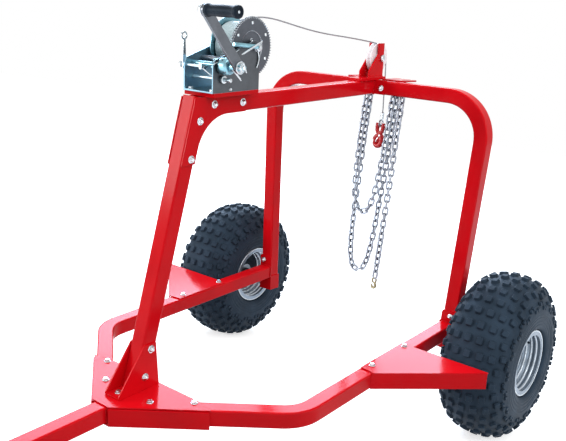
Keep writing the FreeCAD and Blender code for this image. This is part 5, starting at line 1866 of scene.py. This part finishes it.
@dataclass(frozen=True)
class CableHook:
    """Swaged eye on the cable's end and the forged hook with its latch.  Places are about the cable's end."""

    end: Point = CABLE_ROUTE[-1]
    thimble: float = -38.0
    eye: Sequence[Point] = ((0, 2.5, -24), (0, 3, -28), (0, 12, -32), (0, 14.5, -42), (0, 7, -52.5),
                            (0, -7, -52.5), (0, -14.5, -42), (0, -12, -32), (0, -3, -28), (0, -2.5, -24))
    bowl: Sequence[Point] = ((0, 0, -70), (2, 0, -78), (9, 0, -87), (14.5, 0, -98), (14.5, 0, -111), (8, 0, -122),
                             (-2, 0, -126), (-12, 0, -120), (-16, 0, -109), (-17.5, 0, -97))
    gate: Sequence[Point] = ((8, 0, -82), (-1, 0, -83.5), (-10, 0, -88), (-16, 0, -95), (-18.5, 0, -103))
    web: Sequence[Point] = ((6, 0, -86), (1, 0, -95), (-4, 0, -104), (-7, 0, -113))
    prong: Sequence[Point] = ((2, 0, -80), (9, 0, -73), (12.5, 0, -63), (12.5, 0, -46), (12.5, 0, -38))
    fork_pin: float = -44.4
    latch_pin: Pair = (8.5, -85)
    # The latch's pale strips: their line on one face, their half width, and which way they are wide
    strip: Sequence[Point] = ((4.6, 8.4, -88.6), (1, 10.2, -95), (-4, 10.2, -104), (-6.2, 8.4, -110.4))
    strip_half: float = 2.1
    strip_across: Point = (0.88, 0, 0.48)

    def build(self) -> list[bpy.types.Object]:
        """Make the eye and the hook.

        Returns:
            The pieces that belong to the cable.
        """
        fittings = [self.ferrule(), self.rope_eye()]
        self.hook()
        self.latch()
        return fittings

    def ferrule(self) -> bpy.types.Object:
        """Sleeve pressed on the cable, with the thimble in its eye.

        Returns:
            The piece.
        """
        mould = Mould("cable_ferrule", about(self.end))
        down = facing((0, 0, 2), (0, 0, -1)) @ Matrix.Diagonal((1, 1.12, 0.8, 1))
        mould.lathe([(0, 2.2), (0, 4.6), (2, 6.0), (7, 6.4), (8, 5.9), (10, 6.4), (17, 6.4), (18, 5.9), (20, 6.4),
                     (26, 6.2), (28, 4.8), (28, 2.2)], down, 24, looped=True)
        mould.lathe([(-3.6, 12.8), (-3.9, 10.4), (-2, 9.4), (0, 8.9), (2, 9.4), (3.9, 10.4), (3.6, 12.8), (0, 10.2)],
                    facing((0, 0, self.thimble), (1, 0, 0)), 36, looped=True)
        ferrule = mould.finish(BRIGHT_ZINC, Body.FRAME, Slot.ROPE, 40)
        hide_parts("cable_hook")
        return ferrule

    def rope_eye(self) -> bpy.types.Object:
        """Loop of the cable round the thimble.

        Returns:
            The piece.
        """
        mould = Mould("cable_eye", about(self.end))
        mould.bar(self.eye, 2.4, 10, 2.0)
        return mould.finish(WIRE, Body.FRAME, Slot.ROPE, 60)

    def hook(self) -> bpy.types.Object:
        """Forge the hook: a fork round the eye, a thick bowl and a tip.

        Returns:
            The piece.
        """
        mould = Mould("cable_hook_forged", about(self.end))
        mould.forge(self.bowl, lambda part: 9.4 + 3.6 * math.sin(math.pi * min(1.0, 1.1 * part))
                    - 5.4 * max(0.0, part - 0.8) / 0.2, flat=0.8)
        mould.forge(self.gate, lambda part: 7.4 + 0.8 * math.sin(math.pi * part))
        mould.forge(self.web, lambda part: 6.0 + 4.0 * math.sin(math.pi * part))
        for sign in (1, -1):
            mould.forge([(sign * x, y, z) for x, y, z in self.prong],
                        lambda part: 8.0 + 0.8 * min(1.0, part * 1.5) - (2.8 if part == 1 else 0), flat=0.9)
        body = mould.finish(HOOK_PAINT, Body.FRAME, Slot.HOOK, 50)
        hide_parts("cable_hook")
        return body

    def latch(self) -> bpy.types.Object:
        """Fork's pin, the strips of the latch on both faces, and its own pin.

        Returns:
            The piece.
        """
        mould, across = Mould("cable_hook_latch", about(self.end)), Vector(self.strip_across)
        mould.lathe([(-21, 0), (-21, 4.6), (-18.6, 5.0), (-18.6, 3.4), (18.6, 3.4), (18.6, 4.6), (20.4, 4.2),
                     (20.4, 0)], facing((0, 0, self.fork_pin), (1, 0, 0)), 18)
        half = self.strip_half
        for side in (1, -1):
            mould.loft([[Vector((x, side * y, z)) + Vector((0, side * w, 0)) + across * t
                         for w, t in ((-1, -half), (1, -half), (1, half), (-1, half))] for x, y, z in self.strip])
        x, z = self.latch_pin
        mould.lathe([(-13.6, 0), (-13.6, 3.2), (13.6, 3.2), (13.6, 0)], facing((x, 0, z), (0, 1, 0)), 16)
        return mould.finish(BRIGHT_ZINC, Body.FRAME, Slot.ZINC, 40, 0.3)


@dataclass(frozen=True)
class ChainEndHook:
    """Small yellow zinc plated hook on the chain's free end.  Places are about that end."""

    end: Point = CHAIN_TAIL[-1]
    eye: Sequence[Point] = ((8, 0, -11), (7, 0, -4), (0, 0, -2.4), (-7, 0, -4), (-8, 0, -11), (-7, 0, -18),
                            (0, 0, -19.6), (7, 0, -18))
    bowl: Sequence[Point] = ((0, 0, -19), (3, 0, -22), (8, 0, -27), (8.4, 0, -34), (2, 0, -41), (-6, 0, -38),
                             (-8.6, 0, -31), (-10, 0, -27))

    def build(self) -> bpy.types.Object:
        """Make the hook.

        Returns:
            The piece, which stands for the plain one.
        """
        mould = Mould("chain_end_hook_forged", about(self.end))
        mould.bar(self.eye, 3.6, 10, 2.0, closed=True)
        mould.forge(self.bowl, lambda part: 4.2 + 1.6 * math.sin(math.pi * part) - 2.2 * max(0.0, part - 0.8) / 0.2,
                    12, 1.6, 0.9)
        hook = mould.finish(YELLOW_ZINC, Body.FRAME, Slot.BRASS, 50)
        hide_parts("chain_end_hook")
        return hook


# ---------------------------------------------------------------- carried-over parts
@dataclass(frozen=True)
class PlainParts:
    """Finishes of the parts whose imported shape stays."""

    # The rim takes the darker copy of the silver paint, as painted shade
    by_slot: dict[Slot, Finish] = field(default_factory=lambda: {
        Slot.RED: RED_PAINT, Slot.ZINC: ZINC, Slot.RUBBER: TYRE_RUBBER, Slot.RIM: RIM_SHADED_PAINT, Slot.GRIP: GRIP_RUBBER,
        Slot.CHAIN: CHAIN_ZINC, Slot.ROPE: WIRE, Slot.HOOK: HOOK_PAINT, Slot.BRASS: YELLOW_ZINC,
        Slot.SHEAVE: SHEAVE_ZINC})
    by_node: dict[str, Finish] = field(default_factory=lambda: {
        "winch_rods": ROD_ZINC, "drum": SKY_TINTED_ZINC, "winch_frame": CHEEK_ZINC, "sheave_pin": BRIGHT_ZINC,
        "pawl_lever": BRIGHT_ZINC, "crank_shaft": SKY_TINTED_ZINC, "drum_shaft": BRIGHT_ZINC, "drum_gear": GEAR_ZINC})

    def dress(self) -> None:
        """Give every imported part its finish."""
        slots = {part["node"]: Slot(part["material_slot"]) for part in frame["record"]["subparts"]}
        for name, node in frame["nodes"].items():
            look = self.by_node.get(name, self.by_slot[slots[name]])
            node.data.materials.clear()
            node.data.materials.append(look.build())
            LOG.info("%-26s %s", name, look.title)


# ---------------------------------------------------------------- studio
@dataclass(frozen=True)
class SoftBox:
    """Large soft lamp, placed in the level frame and aimed at a level point."""

    # Watts that give a square metre of lamp a radiance of 1
    WATTS = 4

    name: str
    place: Point
    aim: Point
    size: Pair
    radiance: float
    tint: Rgb = (1.0, 1.0, 1.0)

    def build(self) -> bpy.types.Object:
        """Hang the lamp.

        Returns:
            The lamp.
        """
        data = bpy.data.lights.new(self.name, "AREA")
        data.shape, data.size, data.size_y = "RECTANGLE", *self.size
        data.energy = self.WATTS * self.size[0] * self.size[1] * self.radiance
        data.color = self.tint
        lamp = bpy.data.objects.new(self.name, data)
        start, end = STANCE.point(*self.place), STANCE.point(*self.aim)
        lamp.matrix_world = Matrix.Translation(start) @ (end - start).to_track_quat("-Z", "Y").to_matrix().to_4x4()
        lamp.visible_camera = False
        bpy.context.scene.collection.objects.link(lamp)
        return lamp


def seen_directly(tree: bpy.types.NodeTree) -> bpy.types.NodeSocket:
    """Tell rays that come from the camera, a glossy surface or through glass from the rest.

    Args:
        tree: the nodes that ask.

    Returns:
        1 where it does, 0 where it does not.
    """
    path = tree.nodes.new("ShaderNodeLightPath")
    total = path.outputs["Is Camera Ray"]
    for name in ("Is Glossy Ray", "Is Transmission Ray"):
        both = tree.nodes.new("ShaderNodeMath")
        both.operation = "MAXIMUM"
        tree.links.new(total, both.inputs[0])
        tree.links.new(path.outputs[name], both.inputs[1])
        total = both.outputs["Value"]
    return total


@dataclass(frozen=True)
class Studio:
    """White studio: a pale floor that keeps the shadow, a white world and soft lamps."""

    world_light: float = 0.84
    floor_reach: float = 40.0
    floor_glow: float = 0.62
    floor_tone: float = 0.82
    floor_bounce: float = 0.2
    boxes: Sequence[SoftBox] = (
        SoftBox("rear soft box", (-7400, 6600, 5900), (0, -700, 100), (10.0, 4.0), 10.6, (0.62, 0.78, 1.0)),
        SoftBox("front soft box", (-4200, -4950, 2150), (0, -900, 800), (2.6, 1.5), 11.0),
        SoftBox("top soft box", (1500, -1500, 4200), (0, -300, 300), (3.5, 3.5), 1.5),
        SoftBox("right soft box", (5200, -700, 2600), (0, -300, 700), (2.6, 2.2), 3.0),
    )

    def build(self) -> None:
        """Lay the floor, light the world and hang the lamps."""
        self.world()
        self.floor()
        for box in self.boxes:
            box.build()

    def world(self) -> None:
        """White where it is seen, softer where it lights."""
        world = bpy.data.worlds.new("white studio")
        world.use_nodes = True
        tree = world.node_tree
        strength = tree.nodes.new("ShaderNodeMapRange")
        strength.inputs["To Min"].default_value = self.world_light
        strength.inputs["To Max"].default_value = 1.0
        tree.links.new(seen_directly(tree), strength.inputs["Value"])
        background = tree.nodes["Background"]
        background.inputs["Color"].default_value = (1.0, 1.0, 1.0, 1.0)
        tree.links.new(strength.outputs["Result"], background.inputs["Strength"])
        bpy.context.scene.world = world

    def floor(self) -> bpy.types.Object:
        """Lay the floor; its glow lifts it to white and leaves the shadow.

        Returns:
            The floor.
        """
        mesh, r = bpy.data.meshes.new("studio_floor"), self.floor_reach
        mesh.from_pydata([(-r, -r, 0), (r, -r, 0), (r, r, 0), (-r, r, 0)], [], [(0, 1, 2, 3)])
        shader = Shader("studio floor")
        seen = seen_directly(shader.tree)
        shader.fill(shader.surface, {"Roughness": 1.0, "Specular IOR Level": 0.0})
        shader.into("Base Color", shader.span(seen, 0.0, 1.0, self.floor_bounce, self.floor_tone))
        glow, both = shader.node("ShaderNodeEmission"), shader.node("ShaderNodeAddShader")
        shader.join(shader.span(seen, 0.0, 1.0, 0.0, self.floor_glow), glow.inputs["Strength"])
        shader.join(shader.surface.outputs["BSDF"], both.inputs[0])
        shader.join(glow.outputs["Emission"], both.inputs[1])
        shader.join(both.outputs["Shader"], shader.tree.nodes["Material Output"].inputs["Surface"])
        mesh.materials.append(shader.material)
        floor = bpy.data.objects.new("studio_floor", mesh)
        bpy.context.scene.collection.objects.link(floor)
        return floor


def main() -> None:
    """Build the camera, the cords and every sub-assembly, in order."""
    logging.basicConfig(level=logging.INFO, format="%(message)s")
    bpy.context.scene.view_settings.view_transform = "Standard"
    Viewpoint().build()
    WireCable().build(CableHook().build())
    LinkChain("chain_small_loop_links", "chain_small_loop", SMALL_LOOP, 1.066, "object").build()
    LinkChain("chain_large_loop_links", "chain_large_loop", LARGE_LOOP, 1.532, "object").build()
    end_hook = ChainEndHook().build()
    LinkChain("chain_tail_links", "chain_tail", CHAIN_TAIL, 0.749, "fitting").build([end_hook])
    PlainParts().dress()
    FrameFastenings().build()
    for side in Side:
        Tyre(side).build()
        WheelTrim(side).build()
    WinchTrim().build()
    Grip().build()
    WoundCable().build()
    CouplingTrim().build()
    SheaveTrim().build()
    Studio().build()


if __name__ == "__main__":
    main()
